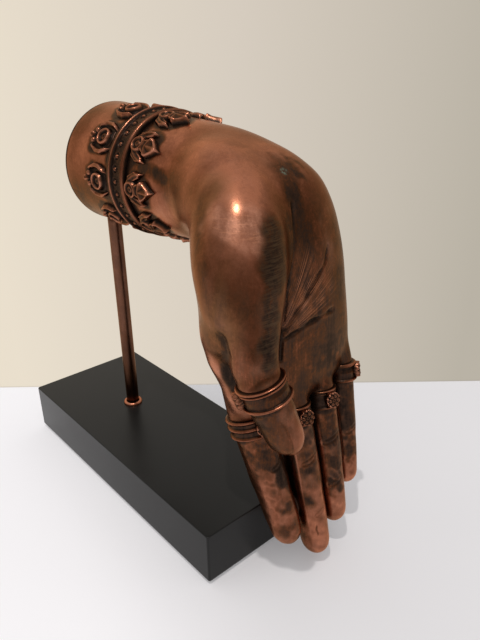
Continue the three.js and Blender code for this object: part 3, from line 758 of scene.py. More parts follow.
# Outlines of a motif's forms: across it, and along it from the band.
BUD = [(-3.8, 10.6), (3.8, 10.6), (7.4, 17.4), (0.9, 27.6), (-6.8, 18.4)]
BUD_PEAK = (0.4, 15.6)
HAND_LEAF = [(3.8, 2.4), (9.2, 3.2), (12.6, 9.6), (11.6, 17.4), (7.8, 14.6), (5.6, 10.4)]
HAND_VEIN = [(5.0, 3.6), (9.2, 9.2), (11.0, 15.4)]
ROSETTE_ALONG = 6.0
CUFF_FIELD = [(0, -0.6), (6.4, 0.8), (9.8, 5.4), (10.2, 11), (8.0, 16.0), (5.0, 20.0), (0, 22.5),
              (-5.0, 20.0), (-8.0, 16.0), (-10.2, 11), (-9.8, 5.4), (-6.4, 0.8)]
CUFF_LEAF = [(6.6, -0.4), (9.6, 1.8), (11.8, 6.4), (11.6, 12.0), (8.6, 17.0), (5.2, 19.2), (7.4, 14.4),
             (8.2, 9.4), (7.6, 4.2)]
CUFF_VEIN = [(7.8, 1.4), (9.8, 6.4), (9.8, 11.4), (7.2, 16.6)]
EYE_ALONG = 7.6
MOTIF_ACROSS = np.arange(-13, 13.01, RELIEF_STEP)
MOTIF_ALONG = np.arange(-1.6, 30.4, RELIEF_STEP)
MOTIF_MIDDLE = 10
MOTIF_TILT = 5
MOTIF_SIZES = (0.95, 1.04)


def hand_motif(u, v, winding):
    """A coiled rosette at the band, a faceted bud and two ridged leaves."""
    r = np.hypot(u, v - ROSETTE_ALONG)
    wound = 0.4 * np.arctan2(v - ROSETTE_ALONG, u * winding) / np.pi
    rosette = raised(6.7 - r, 1.5, -1.0, 1.0) + 2.3 * bell(r - 4.6 - wound, 1.35)
    forms = [rosette + 1.9 * dome(r, 2.7) - 1.1 * bell(r, 1.0)]
    inset = inside_distance(u, v, BUD)
    ridges = np.min([segment_distance(u, v, BUD_PEAK, corner) for corner in BUD[2:]], axis=0)
    facets = np.maximum(4.4 - 0.62 * ridges, 3.5 - 0.9 * np.abs(inset - 1.0))
    forms.append(raised(inset, facets, -1.0, 0.7))
    for w in (u, -u):
        inset = inside_distance(w, v, HAND_LEAF)
        blade = np.maximum(3.3 - 0.75 * path_distance(w, v, HAND_VEIN), 2.7 - 0.9 * np.abs(inset - 0.9))
        forms.append(raised(inset, blade, -1.0, 0.7))
    return blurred(np.max(forms, axis=0), 2)


def cuff_motif(u, v, winding):
    """A ringed eye at the band between two curved leaves, with a lobed tip towards the stump's end."""
    r = np.hypot(u, v - EYE_ALONG)
    eye = raised(6.4 - r, 0.9, -0.9, 0.9) + 3.0 * bell(r - 4.8, 1.2)
    forms = [eye + 2.0 * dome(r, 2.9) - 1.0 * bell(r, 1.1)]
    forms.append(raised(inside_distance(u, v, CUFF_FIELD), 0.5, -0.9, 0.9))
    for w in (u, -u):
        blade = 3.4 - 0.7 * path_distance(w, v, CUFF_VEIN)
        forms.append(raised(inside_distance(w, v, CUFF_LEAF), blade, -1.0, 0.6))
        lobe = np.hypot((w - 3.6) / 3.2, (v - 17.6) / 3.0)
        forms.append(raised(lobe, 3.0, 1.2, 0.3))
    tip = np.hypot(u / 3.6, (v - 20.6) / 4.6)
    forms.append(raised(tip, 3.8, 1.2, 0.25) - 0.9 * bell(u - 0.5 * winding, 0.7))
    return blurred(np.max(forms, axis=0), 2)


def make_motifs():
    for number, degrees in enumerate(MOTIF_TURNS):
        middle = math.radians(degrees)
        winding = 1 if number % 2 else -1
        for row, side, foot in MOTIF_ROWS:
            draw = np.random.default_rng(100 + 10 * number + side)
            tilt = math.radians(draw.uniform(-MOTIF_TILT, MOTIF_TILT))
            size = draw.uniform(*MOTIF_SIZES)
            form = hand_motif if row == "hand" else cuff_motif

            def height(u, v):
                return form(u, v, winding)

            def surface(u, v, h):
                along = v - MOTIF_MIDDLE
                u2 = size * (u * math.cos(tilt) - along * math.sin(tilt))
                v2 = MOTIF_MIDDLE + size * (u * math.sin(tilt) + along * math.cos(tilt))
                return on_wrist(foot + side * v2, middle + u2 / WRIST_RADIUS, h)

            name = f"{row}_motif_{number + 1}"
            obj = relief(name, MOTIF_ACROSS, MOTIF_ALONG, height, surface, ornament_copper)
            ride(obj, "dark_copper", f"{row}_side_motif_{number + 1}")


HOOP_INSIDE = -0.9
HOOP_OVERLAP = 12
PROFILE_SAMPLES = 1200
PROFILE_ROUNDING = 12


def hoop(name, along, turns, height, surface, low, high, base):
    """A closed hoop with a grid of heights outside and a plain inside."""
    u, v = np.meshgrid(along, turns, indexing="ij")
    h = height(u, v)
    inside = surface(u[[-1, 0]], v[[-1, 0]], np.full((2, len(turns)), HOOP_INSIDE))
    rings = np.concatenate([surface(u, v, h), inside])
    faces = ring_faces(len(rings), len(turns), looped=True)
    obj = outward(make_object(name, rings.reshape(-1, 3), faces, ornament_copper))
    lap = HOOP_OVERLAP
    padded = np.concatenate([h[:, -lap:], h, h[:, :lap]], 1)
    patina, rub_and_highlight = (field[:, lap:-lap].ravel() for field in weather(padded, low, high, base))
    rest = np.ones(2 * len(turns))
    set_wear_and_painted_light(obj, np.concatenate([patina, rest]), np.concatenate([rub_and_highlight, 0 * rest]))
    return obj


def profile_curve(corners, along):
    """Heights along a profile, with its corners slightly rounded."""
    places, heights = np.array(corners, float).T
    fine = np.linspace(places[0], places[-1], PROFILE_SAMPLES)
    values = np.pad(np.interp(fine, places, heights), PROFILE_ROUNDING, mode="edge")
    span = 2 * PROFILE_ROUNDING + 1
    return np.interp(along, fine, np.convolve(values, np.ones(span) / span, "valid"))


STUD_COUNT = 32
STUD_STEPS = 26
BAND_RINGS = 66
# The band's profile: distance from its edge at the cuff, and height over the skin.
BAND_PROFILE = [(0, -0.4), (0.25, 1.7), (0.9, 2.3), (3.5, 2.5), (4, 2.2), (4.5, 3.6), (5.1, 3.8),
                (5.6, 2.5), (6.2, 1.9), (13.4, 1.9), (14, 2.1), (15.4, 2.2), (15.9, 1.7), (16.7, 3),
                (17.6, 3.5), (18.6, 3), (19.3, 1.6), (19.5, -0.4)]
BEAD_ALONG = 10.1
BEAD_RADIUS = 1.6
BEAD_FOOT = 1.1
BEAD_HEIGHT = 1.9
BEAD_PIT_ALONG = 9.4
BEAD_PIT_RADIUS = 2.9
BEAD_PIT_DEPTH = 0.9
NO_BEAD = -9


def make_band():
    along = np.linspace(0, BAND_WIDTH, BAND_RINGS)
    turns = turn_steps(STUD_COUNT * STUD_STEPS)
    stud_turn = 2 * np.pi / STUD_COUNT

    def height(x, turn):
        arc = ((turn + stud_turn / 2) % stud_turn - stud_turn / 2) * WRIST_RADIUS
        pit = BEAD_PIT_DEPTH * ease(BEAD_PIT_RADIUS, BEAD_RADIUS, np.hypot(x - BEAD_PIT_ALONG, arc))
        away = np.hypot(x - BEAD_ALONG, arc)
        bead = np.where(away < BEAD_RADIUS, BEAD_FOOT + BEAD_HEIGHT * dome(away, BEAD_RADIUS), NO_BEAD)
        return np.maximum(profile_curve(BAND_PROFILE, x) - pit, bead)

    def surface(x, turn, h):
        return on_wrist(BAND_FROM_ROD + x, turn, h)

    obj = hoop("bracelet", along, turns, height, surface, 1.2, 3.6, DARK_RELIEF)
    ride(obj, "copper", "bracelet_band")


# Profiles of the finger rings between their edges: distance from the middle, and height over the skin.
RING_PROFILES = {
    "thumb": [(-6.3, 1.2), (-5.7, 2.3), (-5.0, 1.6), (-4.7, 0.8), (-4.2, 1.7), (-3.6, 2.0), (-3.0, 1.1),
              (-2.5, 0.7), (0, 1.1), (3.4, 0.8), (4.3, 0.7), (4.8, 2.0), (5.5, 2.5), (6.2, 1.6)],
    "index": [(-6.2, 1.2), (-5.3, 2.2), (-4.5, 1.5), (-3.8, 0.7), (-2.0, 0.7), (-1.2, 1.8), (-0.4, 2.3),
              (0.5, 1.5), (1.2, 0.7), (3.8, 0.8), (4.6, 1.7), (5.4, 2.3), (6.2, 1.4)],
    "middle": [(-6.2, 1.3), (-5.4, 2.2), (-4.4, 1.2), (-3.6, 0.7), (0, 1.0), (3.6, 0.7), (4.5, 1.4),
               (5.4, 2.3), (6.2, 1.4)],
    "ring_finger": [(-6.2, 1.3), (-5.5, 2.3), (-4.8, 1.4), (-4.4, 0.8), (-3.8, 1.7), (-3.2, 1.0), (-2.6, 0.7),
                    (0, 1.1), (3.4, 0.7), (4.3, 1.1), (5.3, 2.4), (6.2, 1.5)],
    "little": [(-6.2, 1.5), (-5.4, 2.4), (-4.3, 2.0), (-3.6, 0.8), (-2.8, 0.6), (0, 1.4), (2.8, 0.6),
               (4.0, 0.7), (4.7, 1.8), (5.4, 2.4), (6.2, 1.5)],
}
RING_HALF = RING_WIDTH / 2
RING_FOOT = -0.4
RING_RINGS = 60
RING_STEPS = 192


def ring_share(digit, turn):
    """How much of a ring's height is left: less where a neighbouring finger lies close."""
    across = np.cos(turn)
    close = np.isin(np.sign(across), digit.beside)
    return np.where(close, lerp(1, RING_THIN_SHARE, np.abs(across)), 1.0)


def make_rings():
    along = np.linspace(-RING_HALF, RING_HALF, RING_RINGS)
    turns = turn_steps(RING_STEPS)
    for name, digit in DIGITS.items():
        profile = [(-RING_HALF, RING_FOOT), *RING_PROFILES[name], (RING_HALF, RING_FOOT)]

        def height(x, turn):
            h = profile_curve(profile, x)
            return np.where(h > 0, h * ring_share(digit, turn), h)

        def surface(x, turn, h):
            return on_digit(digit, x, turn, h)

        obj = hoop(f"{name}_ring", along, turns, height, surface, 0.4, 2.2, DARK_RING)
        ride(obj, "copper", f"{name}_band")


CLUSTER_HALF = 7.2
CLUSTER_SPREAD = 5.6
CLUSTER_LIFT = 2.8
GRAIN_RADIUS = 1.5
# Rows of grains round a cluster's middle one: how many, and how far out.
GRAIN_ROWS = [(6, 2.75), (10, 4.9)]
LITTLE_GRAIN_ROWS = [(6, 2.9), (9, 4.9)]


def cluster(rows):
    """A domed cluster of grains round a middle one."""
    places = [(0.0, 0.0)]
    for row, (count, radius) in enumerate(rows):
        for k in range(count):
            turn = 2 * math.pi * (k + 0.5 * row) / count
            places.append((radius * math.cos(turn), radius * math.sin(turn)))

    def height(u, v):
        r = np.hypot(u, v)
        crown = 1.9 + 1.9 * dome(r, CLUSTER_SPREAD + 2)
        base = raised(r, crown, CLUSTER_SPREAD + 0.5, CLUSTER_SPREAD - 0.6)
        total = base
        for cu, cv in places:
            away = np.hypot(u - cu, v - cv) / GRAIN_RADIUS
            total = np.maximum(total, base + 1.7 * dome(away, 1) - 0.35 * (away < 1))
        return total - 1.2 * bell(r, 0.45 * GRAIN_RADIUS)

    return height


def make_clusters():
    across = np.arange(-CLUSTER_HALF, CLUSTER_HALF + 0.01, CLUSTER_STEP)
    for name, digit in DIGITS.items():
        reach = digit_half(digit, 0) * DIGIT_DEPTH + CLUSTER_LIFT

        def surface(u, v, h):
            return on_digit(digit, v, math.radians(digit.rosette) + u / reach, h)

        rows = LITTLE_GRAIN_ROWS if name == "little" else GRAIN_ROWS
        obj = relief(f"{name}_cluster", across, across, cluster(rows), surface, cluster_copper)
        ride(obj, "dark_copper", f"{name}_rosette")


VOXEL = 0.8
WEIGHT_STEPS = 20


def smoothed(mesh, points, rounds, weight=None):
    """Points, each averaged with its neighbours for a number of rounds, where a weight lets it."""
    work = mesh.copy()
    set_points(work, points)
    obj = new_object("smoothing", work)
    change = obj.modifiers.new("smooth", "SMOOTH")
    change.factor = 0.5
    change.iterations = rounds
    if weight is not None:
        group = obj.vertex_groups.new(name="weight")
        steps = np.round(np.clip(weight, 0, 1) * WEIGHT_STEPS).astype(int)
        for step in range(1, WEIGHT_STEPS + 1):
            group.add(np.nonzero(steps == step)[0].tolist(), step / WEIGHT_STEPS, "REPLACE")
        change.vertex_group = "weight"
    out = points_of(evaluated(obj).data)
    bpy.data.objects.remove(obj)
    bpy.data.meshes.remove(work)
    return out


def filled(mesh, points, rounds, zone):
    """Points with the hollows of a zone raised to its smoothed surface."""
    broad = smoothed(mesh, points, rounds, zone)
    normal = normals_of(mesh)
    fill = np.maximum(0, ((broad - points) * normal).sum(1)) * zone
    points = points + normal * fill[:, None]
    set_points(mesh, points)
    return points


def line_place(points, line):
    """Distance of points from a bent line in space, and the share of its length that they lie at."""
    line = np.array(line, float)
    best = np.full(len(points), 1e9)
    place = np.zeros(len(points))
    for number, (a, b) in enumerate(zip(line, line[1:])):
        step = b - a
        share = np.clip(((points - a) @ step) / (step @ step), 0, 1)
        away = np.linalg.norm(points - a - share[:, None] * step, axis=1)
        place = np.where(away < best, (number + share) / (len(line) - 1), place)
        best = np.minimum(best, away)
    return best, place


# Lines and places on the hand's skin. The palm's lines have a depth.
PALM_LINES = [
    ([(129.3, 38.1, 208.6), (130.7, 34.6, 199.9), (131.7, 28.5, 194.1), (131.9, 22.1, 187.4),
      (131.8, 13.6, 178.5), (131.3, 6.4, 171.3), (130.8, 3, 167)], 1.1),
    ([(130.9, 43.8, 168.3), (132, 33.1, 167.9), (132.4, 21.9, 166.7), (132.1, 11.9, 164.5),
      (131, 2.9, 162.1)], 1.3),
]
# THUMB_GROOVE: the groove between the ball of the thumb and the palm, darkened with patina and painted shade.
THUMB_GROOVE = [(118.3, 18.6, 241.8), (121.7, 16.1, 234.7), (124.9, 13.5, 224.8), (127.1, 11.2, 214.7),
                (128.8, 8.7, 204.3), (129.7, 6.5, 193.4), (130.1, 4.4, 182.3), (130.4, 2.5, 172.6),
                (130.6, 0.9, 162), (131, 0, 149.7)]
DARK_STRIPE = [(127.5, -4.5, 237.5), (131.8, -7.6, 230.5), (135.8, -10, 222.5), (139.5, -13, 213.5),
               (143.6, -19.5, 203), (146.2, -22.8, 191), (148.3, -25.2, 178.5), (152.2, -29, 167)]
STRIPE_HALF = [9.0, 12.5, 14.5, 14.2, 12.2, 11.2, 11.0, 9.6]
DARK_PATCH = [(108.4, 20.2, 253.1), (115, 20.6, 247.4), (120.4, 19.6, 238.2), (124.6, 16.8, 226.5)]
# DARK_WEB: the hollow between the thumb and the index finger, darkened with patina and painted shade.
DARK_WEB = [(131, -46, 176), (132, -44.5, 169), (127, -37.5, 158), (123, -31, 147), (126, -27.5, 137)]
LIT_SIDE = [(109.3, -35.2, 166.5), (110.4, -33.7, 157.1), (110.7, -31.5, 145.5), (112.2, -24.6, 121.2)]
# Round the highlight on the ball of the thumb: rubbed, scratched copper and a painted glow of highlight.
RUBBED_AND_HIGHLIT_BALL = [(116.8, -30.5, 235.4), (121.8, -30.3, 232.9), (126, -26, 233), (129.5, -22, 232.5),
               (132.5, -21.5, 229)]
# Above the ball of the thumb and along the hand's top the copper is cleaner and lighter, partly a painted
# highlight.
CLEAN_AND_LIT_BALL = [(104.6, -23.3, 246.3), (106.2, -17.8, 250.8), (112, -12.8, 250.9), (117.5, -17.7, 244.9)]
RUBBED_AND_LIT_TOP = [(88, -6, 261), (102, -4, 257.5), (97, 16, 260.5), (98, 32, 258.5)]
# Along the heel of the hand: rubbed copper with a painted reflection at its edge, and a brown film.
HEEL_REFLECTION_AND_FILM = [(124.7, 44.2, 221.7), (127.2, 46.6, 209.9), (128, 49.4, 197.2)]
# A painted reflection that lightens the wrist's lower side by the motifs.
WRIST_REFLECTION = [(35, -10.5, 213), (43.7, -13.7, 219.9), (50, -15.5, 224.5)]
OLIVE_SIDE = [(97.2, -27.5, 240.6), (101.6, -31.9, 234.3), (108, -38.1, 223.8), (118, -44, 209),
              (125, -46, 195), (131, -45.5, 184)]
PALM_SCRATCH = [(132, 22.3, 183.1), (131.9, 13.6, 176.4), (131.1, 4.6, 168.7)]
WRIST_SMEAR = [(24, -15.7, 246.5), (31, -15.5, 246), (38, -15.5, 244.5), (43, -15.7, 243)]
BALL_CROWN = (120.5, -22.5, 240.5)
WEB_SIDE = (116, -34.5, 160)
WEB_FOLD = (112, -38, 170)
GREEN_SPECK = (111.6, 19.4, 251)
FAN_MIDDLE = (131, -2, 162.5)
# Swells of the flesh: height, reach and place.
SWELLS = ((1.5, 13, BALL_CROWN), (4.2, 17, WEB_SIDE), (3.5, 9, WEB_FOLD))
# Lens-shaped folds of the fingers: digit, distance along, turn, half its spread in degrees, and depth.
FOLDS = [
    ("index", 28, 84, 30, 0.55), ("middle", 30.5, 102, 34, 0.5), ("middle", 68.5, 96, 26, 0.25),
    ("ring_finger", 27.5, 106, 40, 0.55), ("ring_finger", 58, 112, 36, 0.4), ("little", 40, 96, 40, 0.45),
    ("little", 61, 108, 30, 0.3),
]
KNUCKLE_LINES = (-2.4, 0.0, 2.4)
NAIL_POWER = 2.6
# The crack in a fingertip: digit, its two ends along it, and turn.
CRACK = ("middle", 76, 86, 122)
# Marks along lines: the line, the distances at which it is gone and full, its strength, and how far its edge
# strays with the broad, the middling and the fine unevenness of the skin.
# Lighter, cleaner copper, partly painted highlight.
CLEAN_AND_LIT_MARKS = [(CLEAN_AND_LIT_BALL, 20, 6, 0.16, 2.5), (RUBBED_AND_LIT_TOP, 26, 6, 0.12, 2.5)]
# The marks along THUMB_GROOVE and DARK_WEB are patina and painted shade; the other dark marks are patina and
# stains.
DARK_MARKS = [(DARK_PATCH, 16, -3, 0.73, 2.5, 1.2), (THUMB_GROOVE, 8, 0, 0.52, 1.5),
              (DARK_WEB, 9.5, 2, 0.95, 1.5), (OLIVE_SIDE, 14, 0, 0.42, 2.5),
              (WRIST_SMEAR, 10.5, 1, 0.75, 2, 1.5, 0.5)]
# Bright marks: rubbed copper and a palm scratch, with painted highlights and reflections on the ball of the
# thumb, the hand's top, the heel, the wrist and the lit side.
RUBBED_AND_LIT_MARKS = [(RUBBED_AND_HIGHLIT_BALL, 15.5, 1.5, 1.25, 3, 1.5), (RUBBED_AND_LIT_TOP, 26, 6, 0.25, 3, 1.5),
                (HEEL_REFLECTION_AND_FILM, 14, 3, 0.7, 3, 1.5), (WRIST_REFLECTION, 14, 4, 0.5, 3, 1.5),
                (LIT_SIDE, 11, 3, 0.9, 3, 1.5), (PALM_SCRATCH, 1.6, 0.4, 0.9)]
OLIVE_MARKS = [(OLIVE_SIDE, 26, 6, 1), (HEEL_REFLECTION_AND_FILM, 22, 6, 0.8)]
LIT_MARK = (LIT_SIDE, 11, 4, 1, 1.5)
# Stains on the hand: place, reach and thickness.
STAINS = [
    ((132.8, -14, 91.2), 16, 0.64), ((136.4, -4.8, 83.3), 11, 0.8), ((140.2, -4, 71.5), 9, 0.72),
    ((145, -4, 55), 9, 0.6), ((148.8, -3.1, 40.9), 9, 0.54), ((146.5, -9, 37), 7, 0.54),
    ((145.9, 9.7, 51.3), 5, 0.55), ((144.7, 15.2, 76.7), 6, 0.5), ((142, 10.5, 92), 8, 0.6),
    ((138.3, 33.7, 89.3), 14, 0.68), ((142.1, 36.7, 82), 10, 0.66), ((145.6, 37.6, 67.7), 11, 0.64),
    ((148, 37, 52), 10, 0.68), ((135.1, 59.6, 99.1), 14, 0.74), ((138.7, 60.8, 84.5), 12, 0.72),
    ((140.5, 56.5, 66), 13, 0.72), ((110.5, 26, 251.5), 10, 0.6), ((159, -18.5, 138), 9, 0.5),
    ((128, 52, 165), 12, 0.55), ((131, 43, 144), 22, 0.82), ((132.1, 31.5, 172.5), 13, 0.66),
    ((57, -18, 237), 20, 0.42), ((130, -45, 197), 20, 0.4), ((140, -43, 176), 17, 0.4),
    ((148, -39, 170), 11, 0.45),
]
# How thick the patina is round the ornament, from 0 to 1.
HALO = 0.86
# Plugs that fill the rod's socket: radius, lowest and highest height.
SOCKET_PLUGS = ((9.6, 206.0, 238.0), (6.0, 202.0, 210.0))


def remeshed_hand():
    """The hand's solid with its socket filled, on an even grid of points."""
    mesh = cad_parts["hand_casting"].data.copy()
    body = new_object("hand", mesh)
    bm = bmesh.new()
    bm.from_mesh(mesh)
    bmesh.ops.remove_doubles(bm, verts=bm.verts, dist=1e-6)
    for radius, low, high in SOCKET_PLUGS:
        middle = Matrix.Translation(Vector((ROD_X, 0, (low + high) / 2)) * MM)
        bmesh.ops.create_cone(bm, cap_ends=True, segments=32, radius1=radius * MM, radius2=radius * MM,
                              depth=(high - low) * MM, matrix=middle)
    bm.to_mesh(mesh)
    bm.free()
    change = body.modifiers.new("remesh", "REMESH")
    change.mode = "VOXEL"
    change.voxel_size = VOXEL * MM
    change.adaptivity = 0
    fine = bpy.data.meshes.new_from_object(evaluated(body))
    body.modifiers.clear()
    body.data = fine
    bpy.data.meshes.remove(mesh)
    fine.materials.clear()
    fine.materials.append(copper)
    fine.shade_smooth()
    return body


def digit_shares(points):
    """For each digit: how far along it points lie, their turn, and how surely they belong to it."""
    shares = {}
    for name, digit in DIGITS.items():
        s, a, b = digit_coords(digit, points)
        half = digit_half(digit, np.clip(s, 0, digit.length))
        r = np.hypot(a, b / DIGIT_DEPTH) / half
        shares[name] = (s, np.arctan2(b / DIGIT_DEPTH, a), ease(-9, 3, s) * ease(1.6, 1.25, r))
    return shares


def shape_hand(mesh):
    """The hand's smooth flesh: facets and seams between its forms are worn away."""
    start = points_of(mesh)
    fingers = np.max([share[2] for share in digit_shares(start).values()], axis=0)
    flesh = 1 - fingers
    even = smoothed(mesh, smoothed(mesh, start, 30), 150, flesh)
    lost = smoothed(mesh, smoothed(mesh, start - even, 30), 150, flesh)
    local = even + lost - WRIST
    x, y, z = local.T
    radius = np.hypot(y, z)
    stump = ease(-21.5, -20.5, x) * ease(96, 78, x) * (radius > 28)
    pull = (1 + stump * (wrist_radius(x) / np.maximum(radius, 1) - 1))[:, None]
    points = WRIST + local * np.concatenate([np.ones_like(pull), pull, pull], 1)
    set_points(mesh, points)
    side = ease(-22, -34, y) * ease(178, 165, x)
    low = lerp(ease(-62, -20, z), ease(-92, -66, z), side)
    zone = ease(80, 104, x) * low * flesh
    points = filled(mesh, filled(mesh, points, 900, zone), 500, zone)
    broad = smoothed(mesh, points, 700, zone)
    points = broad + smoothed(mesh, points - broad, 700, zone)
    set_points(mesh, points)
    return points


def carve_hand(mesh, points):
    """Creases of the palm and fingers, knuckle folds and nails."""
    depth = np.zeros(len(points))
    nails = np.zeros(len(points))
    marks = []
    for line, deep in PALM_LINES:
        away, place = line_place(points, line)
        away = away + 0.5 * ripple(points, 7, 5)
        deep = deep * ease(-0.08, 0.15, place)
        depth += deep * bell(away, 0.9) - 0.16 * deep * bell(away - 2.6, 1.2)
        marks.append(ease(-0.08, 0.1, place) * bell(away, 1.2))
    away, place = line_place(points, THUMB_GROOVE)
    groove = ease(0, 0.15, place) * bell(away, 1.3)
    depth += 1.5 * groove
    marks.append(0.9 * groove)
    for swell, reach, middle in SWELLS:
        depth -= swell * bell(away_from(points, middle), reach)
    depth += 4.5 * bell(line_place(points, DARK_WEB[:3])[0], 6.5)
    shares = digit_shares(points)
    for name, place, turn, spread, deep in FOLDS:
        s, around, sure = shares[name]
        across = np.degrees(turn_from(around, turn)) / spread
        away = np.abs(np.abs(s - place - 2.0 * across + 0.6 * across ** 2) - 1.5 * dome(across, 1))
        fold = bell(away, 0.7) * ease(1.1, 0.85, np.abs(across)) * sure
        depth += deep * fold
        marks.append(fold * min(1.0, 1.8 * deep))
    for name, digit in DIGITS.items():
        s, turn, sure = shares[name]
        behind = ease(0.3, 0.75, -np.sin(turn)) * sure
        for joint in digit.joints:
            past = s - joint * digit.length
            for offset in KNUCKLE_LINES:
                depth += 0.35 * behind * bell(past - offset * (1 + 0.4 * np.cos(turn)), 0.7)
            depth -= 0.5 * behind * bell(past, 5.0)
        middle, place, long, wide = digit.nail
        off = turn_from(turn, middle)
        aside = off / wide
        ahead = (s - place) / long
        shape = (np.abs(aside) ** NAIL_POWER + np.abs(ahead) ** NAIL_POWER) ** (1 / NAIL_POWER)
        shape = np.where(np.abs(off) < 1.4, shape, 9.0)
        nail = ease(1.08, 0.95, shape) * sure
        rim = bell(shape - 1.05, 0.08) * sure
        flat = 0.25
        if name == "thumb":
            rim = rim * ease(-1.0, -0.4, ahead)
            flat = 0.7
        depth += 0.55 * rim + flat * nail * np.maximum(0, 1 - aside ** 2)
        marks.append(0.7 * rim)
        nails = np.maximum(nails, nail)
    name, low, high, turn = CRACK
    s, around, sure = shares[name]
    aside = turn_from(around, turn) * DIGITS[name].tip / 2
    crack = 0.6 * bell(aside + 0.25 * np.sin(s), 0.55) * sure
    crack = crack * ease(low, low + 2, s) * ease(high, high - 3, s)
    depth += 0.35 * crack
    marks.append(crack)
    points = points - normals_of(mesh) * depth[:, None]
    set_points(mesh, points)
    beside = ease(20, 7, away_from(points, WEB_FOLD))
    points = smoothed(mesh, filled(mesh, points, 600, beside), 500, beside)
    set_points(mesh, points)
    s, a, b = digit_coords(DIGITS["thumb"], points)
    around = np.hypot(a, b / DIGIT_DEPTH) / digit_half(DIGITS["thumb"], 0.0)
    neck = ease(-24, -17, s) * ease(-7.0, -8.5, s) * ease(2.4, 1.7, around)
    for rounds in (700, 500, 300):
        points = filled(mesh, points, rounds, neck)
    points = smoothed(mesh, points, 160, neck)
    set_points(mesh, points)
    return points, np.max(marks, axis=0), nails


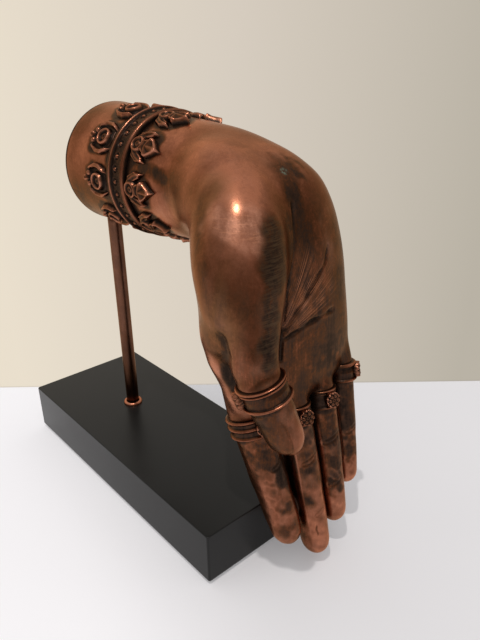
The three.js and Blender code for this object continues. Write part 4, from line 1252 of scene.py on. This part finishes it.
def paint_hand(obj, points, mark, nails):
    """Where the patina is thick and where the metal is rubbed bright, with painted shade, painted highlights
    and painted reflections among them.
    """
    normal = normals_of(obj.data)
    hollow = ((smoothed(obj.data, points, 160) - points) * normal).sum(1)
    x, y, z = (points - WRIST).T
    rough = ripple(points, 13, 11)
    speckle = ripple(points, 5, 12)
    fleck = ripple(points, 2.6, 13)
    shares = digit_shares(points)

    def along(line, gone, full, strength, *stray):
        """A mark of the tables, over all points."""
        away = line_place(points, line)[0]
        for amount, pattern in zip(stray, (rough, speckle, fleck)):
            away = away + amount * pattern
        return strength * ease(gone, full, away)

    # The skin's base is darker on the palm's front and towards the bottom, lighter back towards the wrist and
    # on the fingers, and darker past the stump's end.
    front = ease(0.35, 0.85, normal[:, 0]) * ease(20, -20, z) * ease(-30, -10, y)
    fingers = np.max([sure * ease(6, 16, s) for s, around, sure in shares.values()], axis=0)
    base = 0.2 + 0.33 * front + 0.15 * ease(0, -75, z) * (1 - front)
    base = base - 0.085 * ease(105, 85, x) + 0.17 * ease(0, -14, x)
    skin = lerp(base, 0.05, fingers) + 0.08 * rough + 0.5 * np.clip(hollow / 0.9, 0, 1)
    cuff = ease(BAND_FROM_ROD, BAND_FROM_ROD - 6, x)
    # The cuff's underside is darker: painted shade.
    skin = skin + 0.3 * cuff * ease(0.1, -0.6, normal[:, 2])
    for clean in CLEAN_AND_LIT_MARKS:
        skin = skin - along(*clean)

    # The patina, with the painted shade, is the thickest of these layers.
    layers = [skin, 0.7 * mark, 0.46 * nails]
    beside = np.maximum(np.maximum(BAND_FROM_ROD - x, x - BAND_END), 0) + 2.5 * rough + 1.2 * speckle
    layers.append(HALO * ease(10, 1.0, beside))
    turn = np.arctan2(z, y)
    for _, side, foot in MOTIF_ROWS:
        v = side * (x - foot)
        for middle in MOTIF_TURNS:
            u = turn_from(turn, middle) * WRIST_RADIUS
            reach = np.hypot(u / 11.8, (v - 10.6) / 12.9) + 0.13 * rough + 0.07 * speckle
            layers.append(HALO * ease(1.42, 0.95, reach))
    layers.append(1.2 * ease(-18.0, -20.5, x) * ease(0.8, 0.3, -normal[:, 0]))
    layers.append(0.7 * ease(0.3, 0.8, -normal[:, 0]) * ease(-20, -22, x))
    away, place = line_place(points, DARK_STRIPE)
    half = np.interp(place * (len(STRIPE_HALF) - 1), range(len(STRIPE_HALF)), STRIPE_HALF)
    stripe = ease(1.4, 0.15, away / half + 0.12 * rough + 0.13 * speckle)
    stripe = stripe * ease(-0.1, 0.22, place)
    layers.append(0.74 * stripe)
    layers += [along(*dark) for dark in DARK_MARKS]
    edge_highlights = np.zeros(len(points))
    for name, digit in DIGITS.items():
        s, around, sure = shares[name]
        share = s / digit.length
        spots = 0.12 * rough + 0.12 * speckle + 0.08 * fleck
        if name == "thumb":
            # The thumb is darker on its nail side and lighter on its pad, partly painted shade.
            spots = 0.4 * spots + 0.2 * np.cos(around - math.radians(190))
        level = lerp(*digit.worn, ease(0.3, 0.85, share)) + spots
        for side in digit.beside:
            facing = side * np.cos(around)
            # Darker where the finger faces its neighbour: painted shade between the fingers.
            level = level + 0.35 * ease(0.78, 1.0, facing)
            # A thin painted highlight runs along the side that faces the neighbour.
            line = bell(facing - 0.84 - 0.02 * rough, 0.028) * sure
            edge_highlights = np.maximum(edge_highlights, line * ease(12, 20, s) * ease(0.95, 0.75, share))
        close = np.abs(np.abs(s) - RING_HALF) + 1.2 * rough
        layers.append(np.maximum(level, 0.75 * ease(5.0, 0.8, close)) * sure)
    for at, reach, thick in STAINS:
        broken = ease(0.46, 0.6, thick) * (0.2 * speckle + 0.32 * fleck)
        away = away_from(points, at) / reach + 0.18 * rough + broken
        layers.append(thick * ease(1.7, 0.05, away))
    # The patina thins under the painted highlight lines and, along the lit side, under a painted highlight.
    patina = np.max(layers, axis=0) * (1 - 0.6 * edge_highlights) * (1 - 0.75 * along(*LIT_MARK))

    rub_and_highlight = np.max([np.clip(-hollow / 1.4, 0, 0.4), *[along(*rubbed) for rubbed in RUBBED_AND_LIT_MARKS]], axis=0)
    # The bright value takes in the painted highlight lines along the fingers.
    rub_and_highlight = np.maximum(rub_and_highlight * ease(0.65, 0.25, patina), 0.6 * edge_highlights * ease(-0.6, 0.3, rough))
    rays = points - np.array(FAN_MIDDLE)
    fan_turn = np.degrees(np.arctan2(rays[:, 2], rays[:, 1]))
    reach = np.hypot(rays[:, 1], rays[:, 2])
    fan = ease(12, 24, fan_turn) * ease(78, 60, fan_turn) * (normal[:, 0] > 0.6)
    olive = np.max([0.14 * ease(90, 120, x), *[along(*film) for film in OLIVE_MARKS]], axis=0)
    set_wear_and_painted_light(obj, np.clip(patina, 0, 1), rub_and_highlight)
    set_attribute(obj, "olive", olive)
    set_attribute(obj, "stripe", stripe * ease(0.2, 0.7, stripe))
    set_attribute(obj, "fan", fan * ease(4, 10, reach) * ease(60, 36, reach))
    set_attribute(obj, "fan_turn", fan_turn)
    set_attribute(obj, "green", ease(3.2, 1.2, away_from(points, GREEN_SPECK)))


def make_hand():
    body = remeshed_hand()
    points = shape_hand(body.data)
    points, mark, nails = carve_hand(body.data, points)
    paint_hand(body, points, mark, nails)
    ride(body, "copper", "hand_casting")


make_hand()
make_band()
make_motifs()
make_rings()
make_clusters()

for node, material in (("base_felt", felt), ("base_washer", steel), ("base_nut", steel),
                       ("wrist_socket", steel)):
    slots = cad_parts[node].data.materials
    slots.clear()
    slots.append(material)
